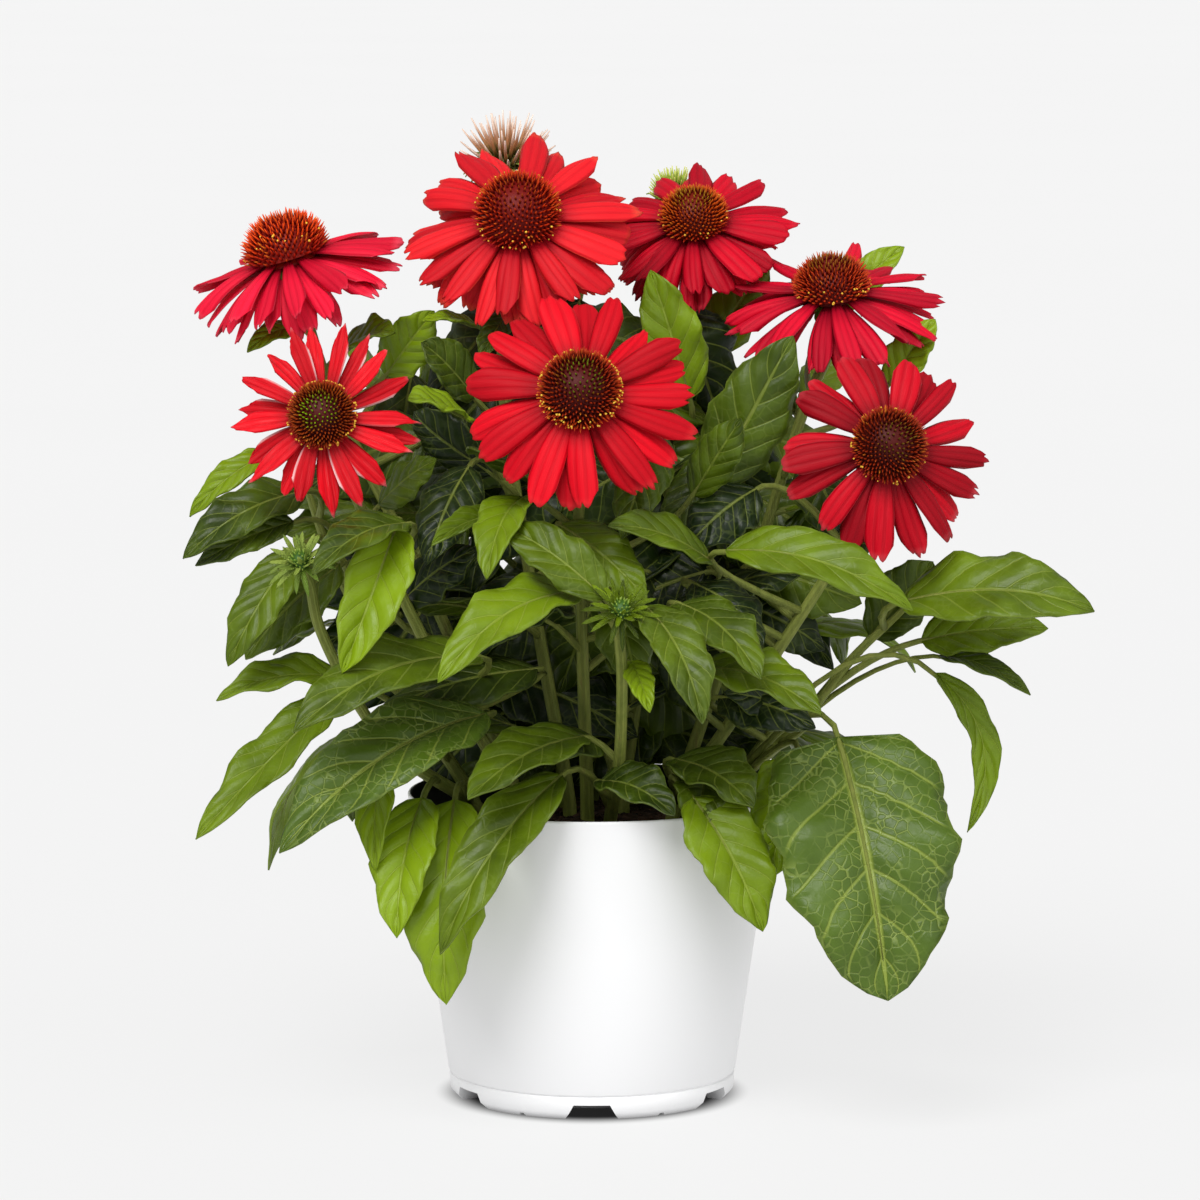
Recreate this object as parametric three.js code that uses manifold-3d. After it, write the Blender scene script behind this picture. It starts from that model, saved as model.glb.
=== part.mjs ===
// Potted coneflower with seven red blooms, in a filled white nursery pot.
// Millimetres, +Z up, -Y towards the viewer. The origin is on the pot's axis, at the foot it stands on.

import * as THREE from "three";
import { mergeVertices } from "three/addons/utils/BufferGeometryUtils.js";
import Module from "manifold-3d";

const wasm = await Module();
wasm.setup();
const { Manifold, Mesh: SolidMesh } = wasm;

// Driving dimensions of the pot
const POT_HEIGHT = 136.5;
const RIM_RADIUS = 82.5;
const BODY_FOOT_RADIUS = 64.2;
const WALL = 1.8;
const FOOT_RADIUS = 61;
const FOOT_RING_INNER = 54;
const GROOVE_HEIGHT = 10.5;
const GROOVE_DEPTH = 0.6;
const CHANNEL_HEIGHT = 7;
const CENTRE_PAD_RADIUS = 38;
const POT_SIDES = 36;
const NOTCHES = 6;
const NOTCH_FOOT_WIDTH = 23.5;
const NOTCH_TOP_WIDTH = 16;
const NOTCH_HEIGHT = 6.8;
const NICK_WIDTH = 3.5;
const NICK_HEIGHT = 1.5;
const DRAIN_RADIUS = 4;

// Driving dimensions of the plant
const SOIL_HEIGHT = 121;
const SOIL_MOUND = 4;
const SOIL_SIDES = 18;
const STEM_RADIUS = 2.7;
const STEM_SIDES = 5;
const STEM_STEP = 26;
const HOLE_RADIUS = 4.6;
const HOLE_SIDES = 7;
const STEM_FOOT_HEIGHT = 104;
const PETIOLE_HALF_WIDTH = 1.5;
const PETIOLE_THICKNESS = 2.4;
const LONG_PETIOLE = 45;
const LOWEST_PETIOLE = SOIL_HEIGHT + 10;
const LEAF_THICKNESS = 1.4;
const BROAD_WIDTH = 60;
const PLAIN_RIDGE = -9;
const BLADE_WAVE = 0.05;
const SIGHT_SLOPE = 0.13;
const PETAL_THICKNESS = 1.2;
const DISC_THICKNESS = 3.4;
const CALYX_HEIGHT = 6;
const CALYX_SHARE = 0.44;
const LAYER_RISE = 0.95;
const LEAST_DROOP = 1;
const GAP = 0.3;
const SLIVER = 0.007;

// Divisions of the florets on a cone, and how far they stand out
const CONE_COLUMNS = 14;
const CONE_ROWS = 7;
const FLORET_RELIEF = 2.1;

// Colours from the photograph
const WHITE_PLASTIC = { color: 0xe9e9e9, roughness: 0.35, metalness: 0 };
const SOIL = { color: 0x2c211a, roughness: 1, metalness: 0 };
const LEAF_GREEN = { color: 0x44702c, roughness: 0.55, metalness: 0 };
const RAY_RED = { color: 0xc8102e, roughness: 0.6, metalness: 0 };
const CONE_BROWN = { color: 0x6e2a12, roughness: 0.8, metalness: 0 };
const BRISTLE_CREAM = { color: 0xd9a78c, roughness: 0.8, metalness: 0 };
const BRISTLE_GREEN = { color: 0xa8b45a, roughness: 0.8, metalness: 0 };
const BUD_GREEN = { color: 0x7f9f4c, roughness: 0.7, metalness: 0 };

// Blooms: centre of the cone's base, the way it faces (turn from the front, tilt from upright),
// cone radius and height, number of rays, their reach past the disc, width, turn of the first one,
// droop at root and tip, extra droop of those towards the viewer, and twist.
const BLOOMS = [
  { place: "left_high", base: [-134.5, 0, 377], turn: -70, tilt: 17, cone: 19, height: 19, rays: 19,
    reach: 38, width: 11.5, first: 0, droop: [0, 30], sag: 20, twist: 14, seed: 3 },
  { place: "top", base: [-32.5, -3, 394], turn: -6, tilt: 49, cone: 19.5, height: 19, rays: 20,
    reach: 41, width: 13, first: 9, droop: [2, 28], sag: 0, twist: 12, seed: 5 },
  { place: "right_back", base: [46, 48, 389], turn: -8, tilt: 37, cone: 16, height: 15, rays: 19,
    reach: 34, width: 11.5, first: 0, droop: [0, 24], sag: 8, twist: 12, seed: 7 },
  { place: "right_high", base: [107, 15, 360], turn: -14, tilt: 20, cone: 17.5, height: 16, rays: 18,
    reach: 39, width: 9.5, first: -6, droop: [-4, 24], sag: 18, twist: 16, seed: 11 },
  { place: "left_front", base: [-116.5, -67.5, 312], turn: -5, tilt: 70, cone: 15, height: 14, rays: 20,
    reach: 32, width: 9.5, first: 0, droop: [4, 12], sag: 0, twist: 30, seed: 13 },
  { place: "middle", base: [-5, -87.5, 324], turn: 0, tilt: 60, cone: 18, height: 18, rays: 21,
    reach: 40, width: 13, first: 0, droop: [8, 24], sag: 0, twist: 10, seed: 17 },
  { place: "right_front", base: [129, -52, 297], turn: 12, tilt: 70, cone: 17, height: 17, rays: 19,
    reach: 36, width: 11.5, first: 8, droop: [8, 22], sag: 0, twist: 14, seed: 19 },
];

// Leafy stems: foot on the soil, points on the way up, top, and the way the top faces.
const STEMS = [
  { name: "stem_left_high", foot: [-32, 4], way: [[-68, 8, 215], [-116, 8, 315]], bloom: "left_high" },
  { name: "stem_top", foot: [-10, 10], way: [[-26, 14, 220], [-40, 12, 335]], bloom: "top" },
  { name: "stem_right_back", foot: [14, 20], way: [[28, 36, 230], [44, 56, 330]], bloom: "right_back" },
  { name: "stem_right_high", foot: [38, 12], way: [[66, 14, 215], [96, 14, 310]], bloom: "right_high" },
  { name: "stem_left_front", foot: [-30, -14], way: [[-70, -30, 201], [-108, -42, 285]],
    bloom: "left_front" },
  { name: "stem_middle", foot: [-2, -12], way: [[-4, -30, 200], [-6, -58, 290]], bloom: "middle" },
  { name: "stem_right_front", foot: [36, -10], way: [[74, -22, 190], [118, -34, 265]], bloom: "right_front" },
  { name: "stem_head_left", foot: [-12, 30], way: [[-26, 46, 230], [-36, 62, 340]],
    top: [-39, 66, 411], turn: 20, tilt: 8 },
  { name: "stem_head_right", foot: [18, 42], way: [[30, 62, 230], [36, 92, 330]],
    top: [38, 98, 394], turn: 0, tilt: 5 },
  { name: "stem_bud_left", foot: [-48, -12], way: [[-90, -45, 165], [-118, -72, 220]],
    top: [-125, -86, 250], turn: -20, tilt: 45 },
  { name: "stem_bud_middle", foot: [8, -34], way: [[12, -66, 160], [13, -98, 205]],
    top: [12.5, -116, 233], turn: 5, tilt: 50 },
  { name: "shoot_left", foot: [-52, 10], way: [[-92, 14, 190], [-118, 8, 245]],
    top: [-132, 2, 285], turn: -60, tilt: 25 },
  { name: "shoot_right", foot: [52, 2], way: [[90, -4, 165], [118, -8, 200]],
    top: [140, -12, 222], turn: 70, tilt: 45 },
  { name: "shoot_back_left", foot: [-34, 38], way: [[-62, 72, 190], [-80, 92, 250]],
    top: [-88, 100, 300], turn: -150, tilt: 20 },
  { name: "shoot_back", foot: [0, 56], way: [[0, 92, 190], [-2, 112, 250]],
    top: [-4, 122, 296], turn: 180, tilt: 20 },
  { name: "shoot_back_right", foot: [40, 40], way: [[70, 72, 190], [86, 88, 255]],
    top: [96, 94, 305], turn: 150, tilt: 20 },
];

// Leaves: stem they grow from, blade base, tip, width, arch, facing (turn, rise), fold and sideways bow.
const LEAVES = [
  ["shoot_left", [-127, -20, 274], [-179, -45, 247], 27, 8, [-10, 45], 10],
  ["shoot_left", [-143, -5, 289], [-178, -15, 262], 16, 5, [-15, 40], 14],
  ["shoot_left", [-131, -32, 262], [-174, -38, 243], 18, 4, [-10, 35], 10],
  ["shoot_left", [-129, -38, 250], [-159, -56, 201], 24, 5, [-20, 25], 8],
  ["shoot_left", [-112, -10, 240], [-153, -28, 200], 34, 5, [-30, 30], 10],
  ["shoot_left", [-109, -24, 190], [-165, -44, 184], 24, 8, [10, 62], 18],
  ["shoot_left", [-112, -20, 184], [-172, -60, 126], 27, 2, [-20, 40], 14],
  ["stem_left_front", [-85, -72, 264], [-107, -105, 205], 32, 8, [10, 20], 28],
  ["stem_left_front", [-80, -66, 265], [-119, -108, 248], 24, 8, [-5, 55], 14],
  ["stem_left_high", [-129, 0, 344], [-152, -15, 335], 14, 5, [0, 55], 12],
  ["stem_left_high", [-112, 16, 332], [-87, -8, 343], 22, 6, [10, 45], 16],
  ["stem_left_high", [-92, 16, 322], [-70, 2, 352], 24, 3, [10, 25], 10],
  ["stem_top", [-52, -4, 314], [-75, -22, 340], 24, 5, [-10, 40], 14],
  ["stem_top", [-53, -24, 306], [-80, -50, 317], 24, 5, [-20, 50], 12],
  ["stem_top", [-52, 10, 345], [-75, -6, 348], 9, 3, [-10, 55], 20],
  ["stem_top", [-36, 4, 352], [-49, -15, 332], 15, 3, [-10, 30], 14],
  ["stem_middle", [-30, -62, 276], [-45, -108, 246], 24, 8, [-20, 55], 18],
  ["stem_middle", [-36, -50, 266], [-69, -88, 258], 16, 6, [0, 55], 20],
  ["stem_bud_middle", [6, -112, 238], [-40, -92, 268], 25, 7, [-5, 40], 12],
  ["stem_bud_middle", [-6, -88, 238], [-65, -140, 206], 31, 14, [-10, 50], 14],
  ["stem_left_front", [-49, -62, 206], [-127, -122, 182], 38, 14, [-10, 55], 12],
  ["stem_bud_left", [-46, -54, 180], [-134, -112, 128], 46, 16, [-15, 45], 12],
  ["stem_bud_middle", [-4, -62, 171], [-53, -122, 153], 32, 8, [-10, 50], 12],
  ["stem_bud_middle", [-13, -74, 156], [-65, -118, 85], 31, 14, [-20, 30], 14],
  ["stem_bud_left", [-60, -62, 143], [-63, -98, 59], 40, 14, [-10, 12], 10],
  ["stem_bud_left", [-74, -56, 143], [-84, -92, 88], 30, 8, [-20, 25], 14],
  ["stem_bud_left", [-86, -44, 172], [-93, -82, 116], 22, 8, [-30, 20], 16],
  ["stem_right_front", [44, -74, 146], [74, -97, 91], 35, 8, [20, 20], 12],
  ["stem_bud_middle", [4, -66, 152], [36, -92, 141], 26, 6, [0, 55], 20],
  ["stem_right_front", [37, -58, 160], [70, -104, 146], 34, 6, [15, 50], 14],
  ["stem_right_front", [50, -50, 152], [46, -84, 133], 26, 6, [0, 40], 14],
  ["shoot_right", [108, -58, 170], [128, -104, 62], 84, 14, [8, 12], 6],
  ["shoot_right", [90, -52, 160], [77, -88, 112], 34, 6, [0, 20], 12],
  ["shoot_right", [152, -20, 193], [166, -36, 124], 16, 5, [25, 25], 16, -14],
  ["shoot_right", [154, -24, 201], [193, -48, 187], 14, 5, [10, 60], 14],
  ["shoot_right", [136, -36, 227], [219, -62, 226], 42, 12, [15, 45], 10],
  ["shoot_right", [146, -10, 206], [202, -14, 212], 26, 4, [10, 40], 10],
  ["shoot_right", [124, -14, 208], [152, -24, 243], 28, 6, [30, 40], 14],
  ["stem_right_front", [58, -72, 254], [138, -97, 231], 30, 12, [5, 50], 12],
  ["stem_middle", [52, -62, 248], [7, -92, 267], 25, 7, [0, 50], 12],
  ["stem_bud_middle", [23, -104, 234], [47, -145, 189], 27, 10, [20, 35], 16],
  ["stem_right_front", [38, -82, 232], [72, -130, 206], 29, 8, [15, 50], 12],
  ["stem_right_front", [46, -80, 204], [98, -122, 190], 32, 8, [10, 55], 12],
  ["stem_bud_middle", [17, -90, 208], [25, -118, 190], 13, 4, [0, 40], 14],
  ["stem_right_high", [110, 60, 346], [142, 58, 377], 20, 4, [0, 45], 14],
  ["stem_right_high", [132, 10, 318], [153, 6, 348], 20, 4, [10, 40], 14],
  ["stem_right_back", [44, 26, 310], [26, 24, 368], 29, 4, [0, 25], 10],
];

// Inner leaves that close the gaps between the stems, listed as the leaves are
const INNER_LEAVES = [
  ["shoot_back", [-4, 126, 292], [-12, 158, 326], 24, 4, [180, 50], 12],
  ["shoot_back", [-2, 122, 286], [24, 132, 318], 22, 4, [150, 50], 12],
  ["shoot_back_left", [-90, 104, 298], [-112, 128, 330], 24, 4, [-140, 50], 12],
  ["shoot_back_left", [-86, 98, 292], [-66, 112, 324], 22, 4, [180, 50], 12],
  ["shoot_back_right", [99, 97, 303], [118, 122, 332], 24, 4, [140, 50], 12],
  ["shoot_back_right", [94, 92, 297], [76, 108, 328], 22, 4, [180, 50], 12],
  ["stem_left_front", [-24, -28, 196], [-94, -56, 180], 30, 6, [-10, 50], 12],
  ["stem_right_front", [102, -24, 246], [139, -16, 269], 26, 6, [10, 45], 12],
  ["stem_right_back", [58, -2, 288], [30, -26, 250], 24, 6, [0, 35], 12],
  ["stem_middle", [44, -40, 274], [65, -58, 310], 21, 5, [10, 30], 16],
  ["stem_right_high", [52, -14, 274], [88, -4, 340], 36, 5, [10, 25], 12],
  ["shoot_right", [56, -34, 184], [98, -60, 174], 28, 6, [0, 45], 12],
  ["stem_right_front", [44, -58, 238], [74, -82, 214], 30, 6, [20, 45], 12],
  ["stem_middle", [-14, -46, 262], [24, -66, 232], 28, 6, [0, 35], 12],
  ["stem_right_back", [30, -30, 300], [13, -65, 258], 25, 6, [0, 35], 12],
  ["stem_top", [-54, -28, 286], [-72, -60, 246], 28, 6, [-10, 35], 12],
  ["stem_left_front", [-94, -18, 268], [-68, -38, 290], 20, 4, [0, 35], 12],
  ["stem_left_high", [-84, -30, 226], [-50, -50, 252], 24, 6, [0, 35], 12],
  ["shoot_right", [92, -30, 176], [58, -48, 188], 22, 4, [0, 40], 12],
  ["stem_middle", [-26, -22, 236], [-58, -34, 200], 30, 5, [-10, 35], 12],
  ["stem_middle", [8, -34, 232], [20, -54, 190], 28, 5, [10, 35], 12],
  ["stem_right_front", [72, -30, 276], [40, -40, 250], 30, 5, [0, 40], 12],
  ["stem_right_back", [50, 30, 330], [80, 34, 372], 26, 4, [10, 30], 12],
  ["stem_right_high", [96, -6, 286], [112, -20, 248], 28, 5, [10, 35], 12],
];

function vector([x, y, z]) {
  return new THREE.Vector3(x, y, z);
}

// Direction that is turned from the front (-Y) towards +X and raised from the horizontal, in degrees.
function facing(turn, rise) {
  const t = THREE.MathUtils.degToRad(turn);
  const r = THREE.MathUtils.degToRad(rise);
  return new THREE.Vector3(Math.sin(t) * Math.cos(r), -Math.cos(t) * Math.cos(r), Math.sin(r));
}

// Repeatable draws between -1 and 1
function draws(seed) {
  let state = seed;
  return () => {
    state = (state * 16807) % 2147483647;
    return (state / 2147483647) * 2 - 1;
  };
}

function solidOf(geometry) {
  const bare = geometry.clone();
  bare.deleteAttribute("normal");
  bare.deleteAttribute("uv");
  const merged = mergeVertices(bare);
  const vertProperties = merged.attributes.position.array;
  const triVerts = new Uint32Array(merged.index.array);
  return new Manifold(new SolidMesh({ numProp: 3, vertProperties, triVerts }));
}

function geometryOf(solid) {
  const mesh = solid.getMesh();
  const geometry = new THREE.BufferGeometry();
  geometry.setAttribute("position", new THREE.BufferAttribute(mesh.vertProperties, 3));
  geometry.setIndex(new THREE.BufferAttribute(mesh.triVerts, 1));
  geometry.computeVertexNormals();
  return geometry;
}

// One solid out of several. Pockets closed in where blades cross are filled.
function fuse(solids) {
  const shells = Manifold.union(solids).simplify(SLIVER).decompose();
  return Manifold.compose(shells.filter((shell) => shell.volume() > 0));
}

// A solid through sections of equally many corners, listed clockwise seen from its root.
// The last section may be a single point. Both faces are split along the same diagonals.
function loft(sections) {
  const faces = [];
  const corners = sections[0].length;
  const last = sections.length - 1;
  const pointed = sections[last].length === 1;
  for (let k = 2; k < corners; k += 1) {
    faces.push([0, k, k - 1]);
  }
  for (let i = 0; i < last; i += 1) {
    const a = corners * i;
    const b = a + corners;
    for (let k = 0; k < corners; k += 1) {
      const next = (k + 1) % corners;
      if (pointed && i === last - 1) {
        faces.push([a + k, a + next, b]);
      } else if (k === 0 || k === 2) {
        faces.push([a + k, b + next, b + k], [a + k, a + next, b + next]);
      } else {
        faces.push([a + k, a + next, b + k], [b + k, a + next, b + next]);
      }
    }
  }
  if (!pointed) {
    for (let k = 2; k < corners; k += 1) {
      faces.push([corners * last, corners * last + k - 1, corners * last + k]);
    }
  }
  const geometry = new THREE.BufferGeometry().setFromPoints(sections.flat());
  geometry.setIndex(faces.flat());
  return solidOf(geometry);
}

// Four corners of a blade's section: folded up along the midrib, with each edge lifted by its wave.
function bladeSection(centre, along, face, halfWidth, thickness, fold, leftWave, rightWave) {
  const normal = face.clone().addScaledVector(along, -face.dot(along)).normalize();
  const side = along.clone().cross(normal);
  const out = halfWidth * Math.cos(fold);
  const lift = halfWidth * Math.sin(fold);
  return [
    centre.clone().addScaledVector(side, -out).addScaledVector(normal, lift + leftWave),
    centre.clone().addScaledVector(normal, thickness / 2),
    centre.clone().addScaledVector(side, out).addScaledVector(normal, lift + rightWave),
    centre.clone().addScaledVector(normal, -thickness / 2),
  ];
}

// Share of a leaf's full width at t along the blade: rounded near the base, drawn out to the tip.
function leafOutline(t) {
  return (t ** 0.55 * (1 - t) ** 0.85) / 0.391;
}

// The same for the broad leaf from the crown, which is rounder at both ends
function broadOutline(t) {
  return (t ** 0.4 * (1 - t) ** 0.6) / 0.51;
}

// A leaf: a petiole from the stem to the blade's base, then the blade, arched over to its tip.
// A plain one, further inside the plant, is a three-cornered blade that is ridged along its midrib.
function leafSections(root, leaf, index) {
  const { base, tip, width, arch, face, bow, plain } = leaf;
  const across = tip.clone().sub(base).cross(face).normalize();
  const control = base.clone().lerp(tip, 0.5).addScaledVector(face, 2 * arch)
    .addScaledVector(across, 2 * bow);
  const blade = new THREE.QuadraticBezierCurve3(base, control, tip);
  const start = blade.getTangent(0);
  const bend = base.clone().addScaledVector(start, -0.45 * base.distanceTo(root));
  const petiole = new THREE.QuadraticBezierCurve3(root, bend, base);
  const fold = THREE.MathUtils.degToRad(plain ? PLAIN_RIDGE : leaf.fold);
  const broad = width > BROAD_WIDTH;
  const outline = broad ? broadOutline : leafOutline;
  const upper = face.clone().addScaledVector(start, -face.dot(start));
  const sections = (base.distanceTo(root) > LONG_PETIOLE ? [0, 0.5, 1] : [0, 1]).map((t) => (
    bladeSection(petiole.getPoint(t), petiole.getTangent(t), upper,
      PETIOLE_HALF_WIDTH, PETIOLE_THICKNESS, 0, 0, 0)));
  const steps = broad ? 8 : plain ? 4 : 5;
  for (let i = 1; i < steps; i += 1) {
    const t = i / steps;
    const swing = 5 * Math.PI * t + 2.4 * index;
    const wave = BLADE_WAVE * width;
    sections.push(bladeSection(blade.getPoint(t), blade.getTangent(t), face,
      (width / 2) * outline(t), LEAF_THICKNESS, fold, wave * Math.cos(swing), wave * Math.cos(swing + 2)));
  }
  const corners = plain ? 3 : 4;
  return [...sections.map((section) => section.slice(0, corners)), [tip.clone()]];
}

// Pot: a thin tapered wall on a foot ring, with a drainage channel round a raised centre pad.
function makePot() {
  const groove = GROOVE_HEIGHT;
  const floor = CHANNEL_HEIGHT + 2;
  const outline = [
    [0, 0],
    [CENTRE_PAD_RADIUS, 0],
    [CENTRE_PAD_RADIUS + 3, CHANNEL_HEIGHT],
    [FOOT_RING_INNER - 1, CHANNEL_HEIGHT],
    [FOOT_RING_INNER, 0],
    [FOOT_RADIUS, 0],
    [BODY_FOOT_RADIUS - 0.5, 3],
    [BODY_FOOT_RADIUS, groove - 0.7],
    [BODY_FOOT_RADIUS - GROOVE_DEPTH, groove],
    [BODY_FOOT_RADIUS + 0.4, groove + 0.7],
    [RIM_RADIUS, POT_HEIGHT - 0.8],
    [RIM_RADIUS - 0.8, POT_HEIGHT],
    [RIM_RADIUS - WALL, POT_HEIGHT],
    [BODY_FOOT_RADIUS - WALL, floor],
    [0, floor],
  ];
  const turned = new THREE.LatheGeometry(outline.map(([r, z]) => new THREE.Vector2(r, z)), POT_SIDES)
    .rotateX(Math.PI / 2);
  const cuts = [];
  for (let i = 0; i < NOTCHES; i += 1) {
    const turn = (2 * Math.PI * i) / NOTCHES;
    cuts.push(solidOf(radialCut(NOTCH_FOOT_WIDTH, NOTCH_TOP_WIDTH, NOTCH_HEIGHT).rotateZ(turn)));
    cuts.push(solidOf(radialCut(NICK_WIDTH, NICK_WIDTH / 2, NICK_HEIGHT).rotateZ(turn + Math.PI / NOTCHES)));
    const drain = new THREE.CylinderGeometry(DRAIN_RADIUS, DRAIN_RADIUS, floor, 8).rotateX(Math.PI / 2);
    drain.translate(0, -(CENTRE_PAD_RADIUS + FOOT_RING_INNER) / 2 - 1, floor);
    cuts.push(solidOf(drain.rotateZ(turn)));
  }
  return solidOf(turned).subtract(Manifold.union(cuts));
}

// A wedge across the foot ring, pointing to -Y, wider at the foot than at its top.
function radialCut(footWidth, topWidth, height) {
  const outline = new THREE.Shape();
  outline.moveTo(-footWidth / 2 - 1, -1);
  outline.lineTo(footWidth / 2 + 1, -1);
  outline.lineTo(footWidth / 2, 0);
  outline.lineTo(topWidth / 2, height);
  outline.lineTo(-topWidth / 2, height);
  outline.lineTo(-footWidth / 2, 0);
  const depth = 16;
  const cut = new THREE.ExtrudeGeometry(outline, { depth, bevelEnabled: false });
  return cut.rotateX(Math.PI / 2).translate(0, -FOOT_RING_INNER + 3, 0);
}

// Soil: fills the pot to a low mound with an uneven top.
function makeSoil(stems) {
  const floor = CHANNEL_HEIGHT + 2 + GAP;
  const inner = (z) => BODY_FOOT_RADIUS - WALL
    + ((RIM_RADIUS - BODY_FOOT_RADIUS) * (z - floor)) / (POT_HEIGHT - floor) - 2 * GAP;
  const brim = inner(SOIL_HEIGHT);
  const outline = [[0, floor], [inner(floor), floor], [brim, SOIL_HEIGHT]];
  for (const share of [0.8, 0.6, 0.4, 0.2, 0]) {
    outline.push([brim * share, SOIL_HEIGHT + SOIL_MOUND * (1 - share * share)]);
  }
  const geometry = new THREE.LatheGeometry(outline.map(([r, z]) => new THREE.Vector2(r, z)), SOIL_SIDES)
    .rotateX(Math.PI / 2);
  const spots = geometry.attributes.position;
  for (let i = 0; i < spots.count; i += 1) {
    const x = spots.getX(i);
    const y = spots.getY(i);
    const z = spots.getZ(i);
    if (z > SOIL_HEIGHT - 1) {
      const reach = 1 - (Math.hypot(x, y) / brim) ** 4;
      const lumps = 1.4 * Math.sin(x / 7) * Math.cos(y / 6) + 0.9 * Math.sin((x + y) / 4.3);
      spots.setZ(i, z + lumps * reach);
    }
  }
  const holes = stems.map((stem) => {
    const depth = 60;
    const hole = new THREE.CylinderGeometry(HOLE_RADIUS, HOLE_RADIUS, depth, HOLE_SIDES);
    hole.rotateX(Math.PI / 2).translate(stem.foot[0], stem.foot[1], STEM_FOOT_HEIGHT - GAP + depth / 2);
    return solidOf(hole);
  });
  return solidOf(geometry).subtract(Manifold.union(holes));
}

// Route of a stem: straight up out of its hole, along its way, and into the head along its axis.
function stemRoute(stem) {
  const bloom = BLOOMS.find((one) => one.place === stem.bloom);
  const axis = bloom ? facing(bloom.turn, 90 - bloom.tilt) : facing(stem.turn, 90 - stem.tilt);
  const under = DISC_THICKNESS + GAP + CALYX_HEIGHT;
  const end = bloom ? vector(bloom.base).addScaledVector(axis, -under) : vector(stem.top);
  const [x, y] = stem.foot;
  const points = [
    new THREE.Vector3(x, y, STEM_FOOT_HEIGHT),
    new THREE.Vector3(x, y, SOIL_HEIGHT - 6),
    new THREE.Vector3(x, y, SOIL_HEIGHT + 6),
    ...stem.way.map(vector),
    end.clone().addScaledVector(axis, -12),
    end.clone().addScaledVector(axis, 1),
  ];
  const curve = new THREE.CatmullRomCurve3(points);
  const steps = Math.round(curve.getLength() / STEM_STEP);
  return { curve, steps, line: curve.getSpacedPoints(steps), end, axis, bloom };
}

function polygon(radius, sides) {
  const outline = new THREE.Shape();
  for (let i = 0; i < sides; i += 1) {
    const a = (2 * Math.PI * (i + 0.5)) / sides;
    const spot = [radius * Math.cos(a), radius * Math.sin(a)];
    if (i === 0) {
      outline.moveTo(...spot);
    } else {
      outline.lineTo(...spot);
    }
  }
  return outline;
}

// Turns a shape made along +Z from the origin to stand on a point along an axis.
function stand(geometry, spot, axis) {
  const turn = new THREE.Quaternion().setFromUnitVectors(new THREE.Vector3(0, 0, 1), axis);
  return geometry.applyQuaternion(turn).translate(spot.x, spot.y, spot.z);
}

function makeStem(route) {
  const tube = new THREE.ExtrudeGeometry(polygon(STEM_RADIUS, STEM_SIDES),
    { steps: route.steps, bevelEnabled: false, extrudePath: route.curve });
  const parts = [solidOf(tube)];
  if (route.bloom) {
    const wide = route.bloom.cone * CALYX_SHARE;
    const calyx = new THREE.CylinderGeometry(wide, STEM_RADIUS, CALYX_HEIGHT, 8).rotateX(Math.PI / 2);
    calyx.translate(0, 0, CALYX_HEIGHT / 2);
    parts.push(solidOf(stand(calyx, route.end, route.axis)));
  }
  return parts;
}

// Rays of a bloom in their layers, each a notched blade sunk in the thin disc that carries them.
function makeRays(bloom) {
  const axis = facing(bloom.turn, 90 - bloom.tilt);
  const centre = vector(bloom.base);
  const disc = new THREE.CylinderGeometry(bloom.cone * 0.8, bloom.cone * 0.62, DISC_THICKNESS, 10);
  disc.rotateX(Math.PI / 2).translate(0, 0, -DISC_THICKNESS / 2);
  const solids = [solidOf(stand(disc, centre, axis))];
  const draw = draws(bloom.seed);
  const toWorld = new THREE.Quaternion().setFromUnitVectors(new THREE.Vector3(0, 0, 1), axis);
  for (let i = 0; i < bloom.rays; i += 1) {
    const around = (2 * Math.PI * (i + 0.22 * draw())) / bloom.rays + THREE.MathUtils.degToRad(bloom.first);
    const layer = i % 2 === 0 ? LAYER_RISE : -LAYER_RISE;
    const reach = bloom.reach * (1 + 0.08 * draw());
    const width = bloom.width * (1 + 0.1 * draw());
    const twist = THREE.MathUtils.degToRad(bloom.twist * draw());
    const out = new THREE.Vector3(Math.cos(around), Math.sin(around), 0);
    const sag = bloom.sag * -out.clone().applyQuaternion(toWorld).y;
    const droop = bloom.droop.map((d) => THREE.MathUtils.degToRad(
      Math.max(LEAST_DROOP, d + sag + 2.5 * draw() - layer * 4)));
    const step = (angle, length) => out.clone().multiplyScalar(Math.cos(angle) * length)
      .add(new THREE.Vector3(0, 0, -Math.sin(angle) * length));
    const root = out.clone().multiplyScalar(bloom.cone * 0.5);
    root.z = layer - DISC_THICKNESS / 2 - PETAL_THICKNESS / 2;
    const whole = reach + bloom.cone * 0.3;
    const bend = root.clone().add(step(droop[0], whole * 0.5));
    const tip = bend.clone().add(step(droop[1], whole * 0.5));
    const curve = new THREE.QuadraticBezierCurve3(root, bend, tip);
    const sections = [[0, 0.26], [0.36, 0.78], [0.72, 1], [1, 0.6]]
      .map(([t, share]) => {
        const along = curve.getTangent(t);
        const face = new THREE.Vector3(0, 0, 1).applyAxisAngle(out, twist * t);
        const section = bladeSection(curve.getPoint(t), along, face,
          (width / 2) * share, 2 * PETAL_THICKNESS, 0, 0, 0);
        if (t === 1) {
          section[1].addScaledVector(along, -reach * 0.07);
        }
        return section.slice(0, 3).map((spot) => spot.applyQuaternion(toWorld).add(centre));
      });
    solids.push(loft(sections));
  }
  return fuse(solids);
}

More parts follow.
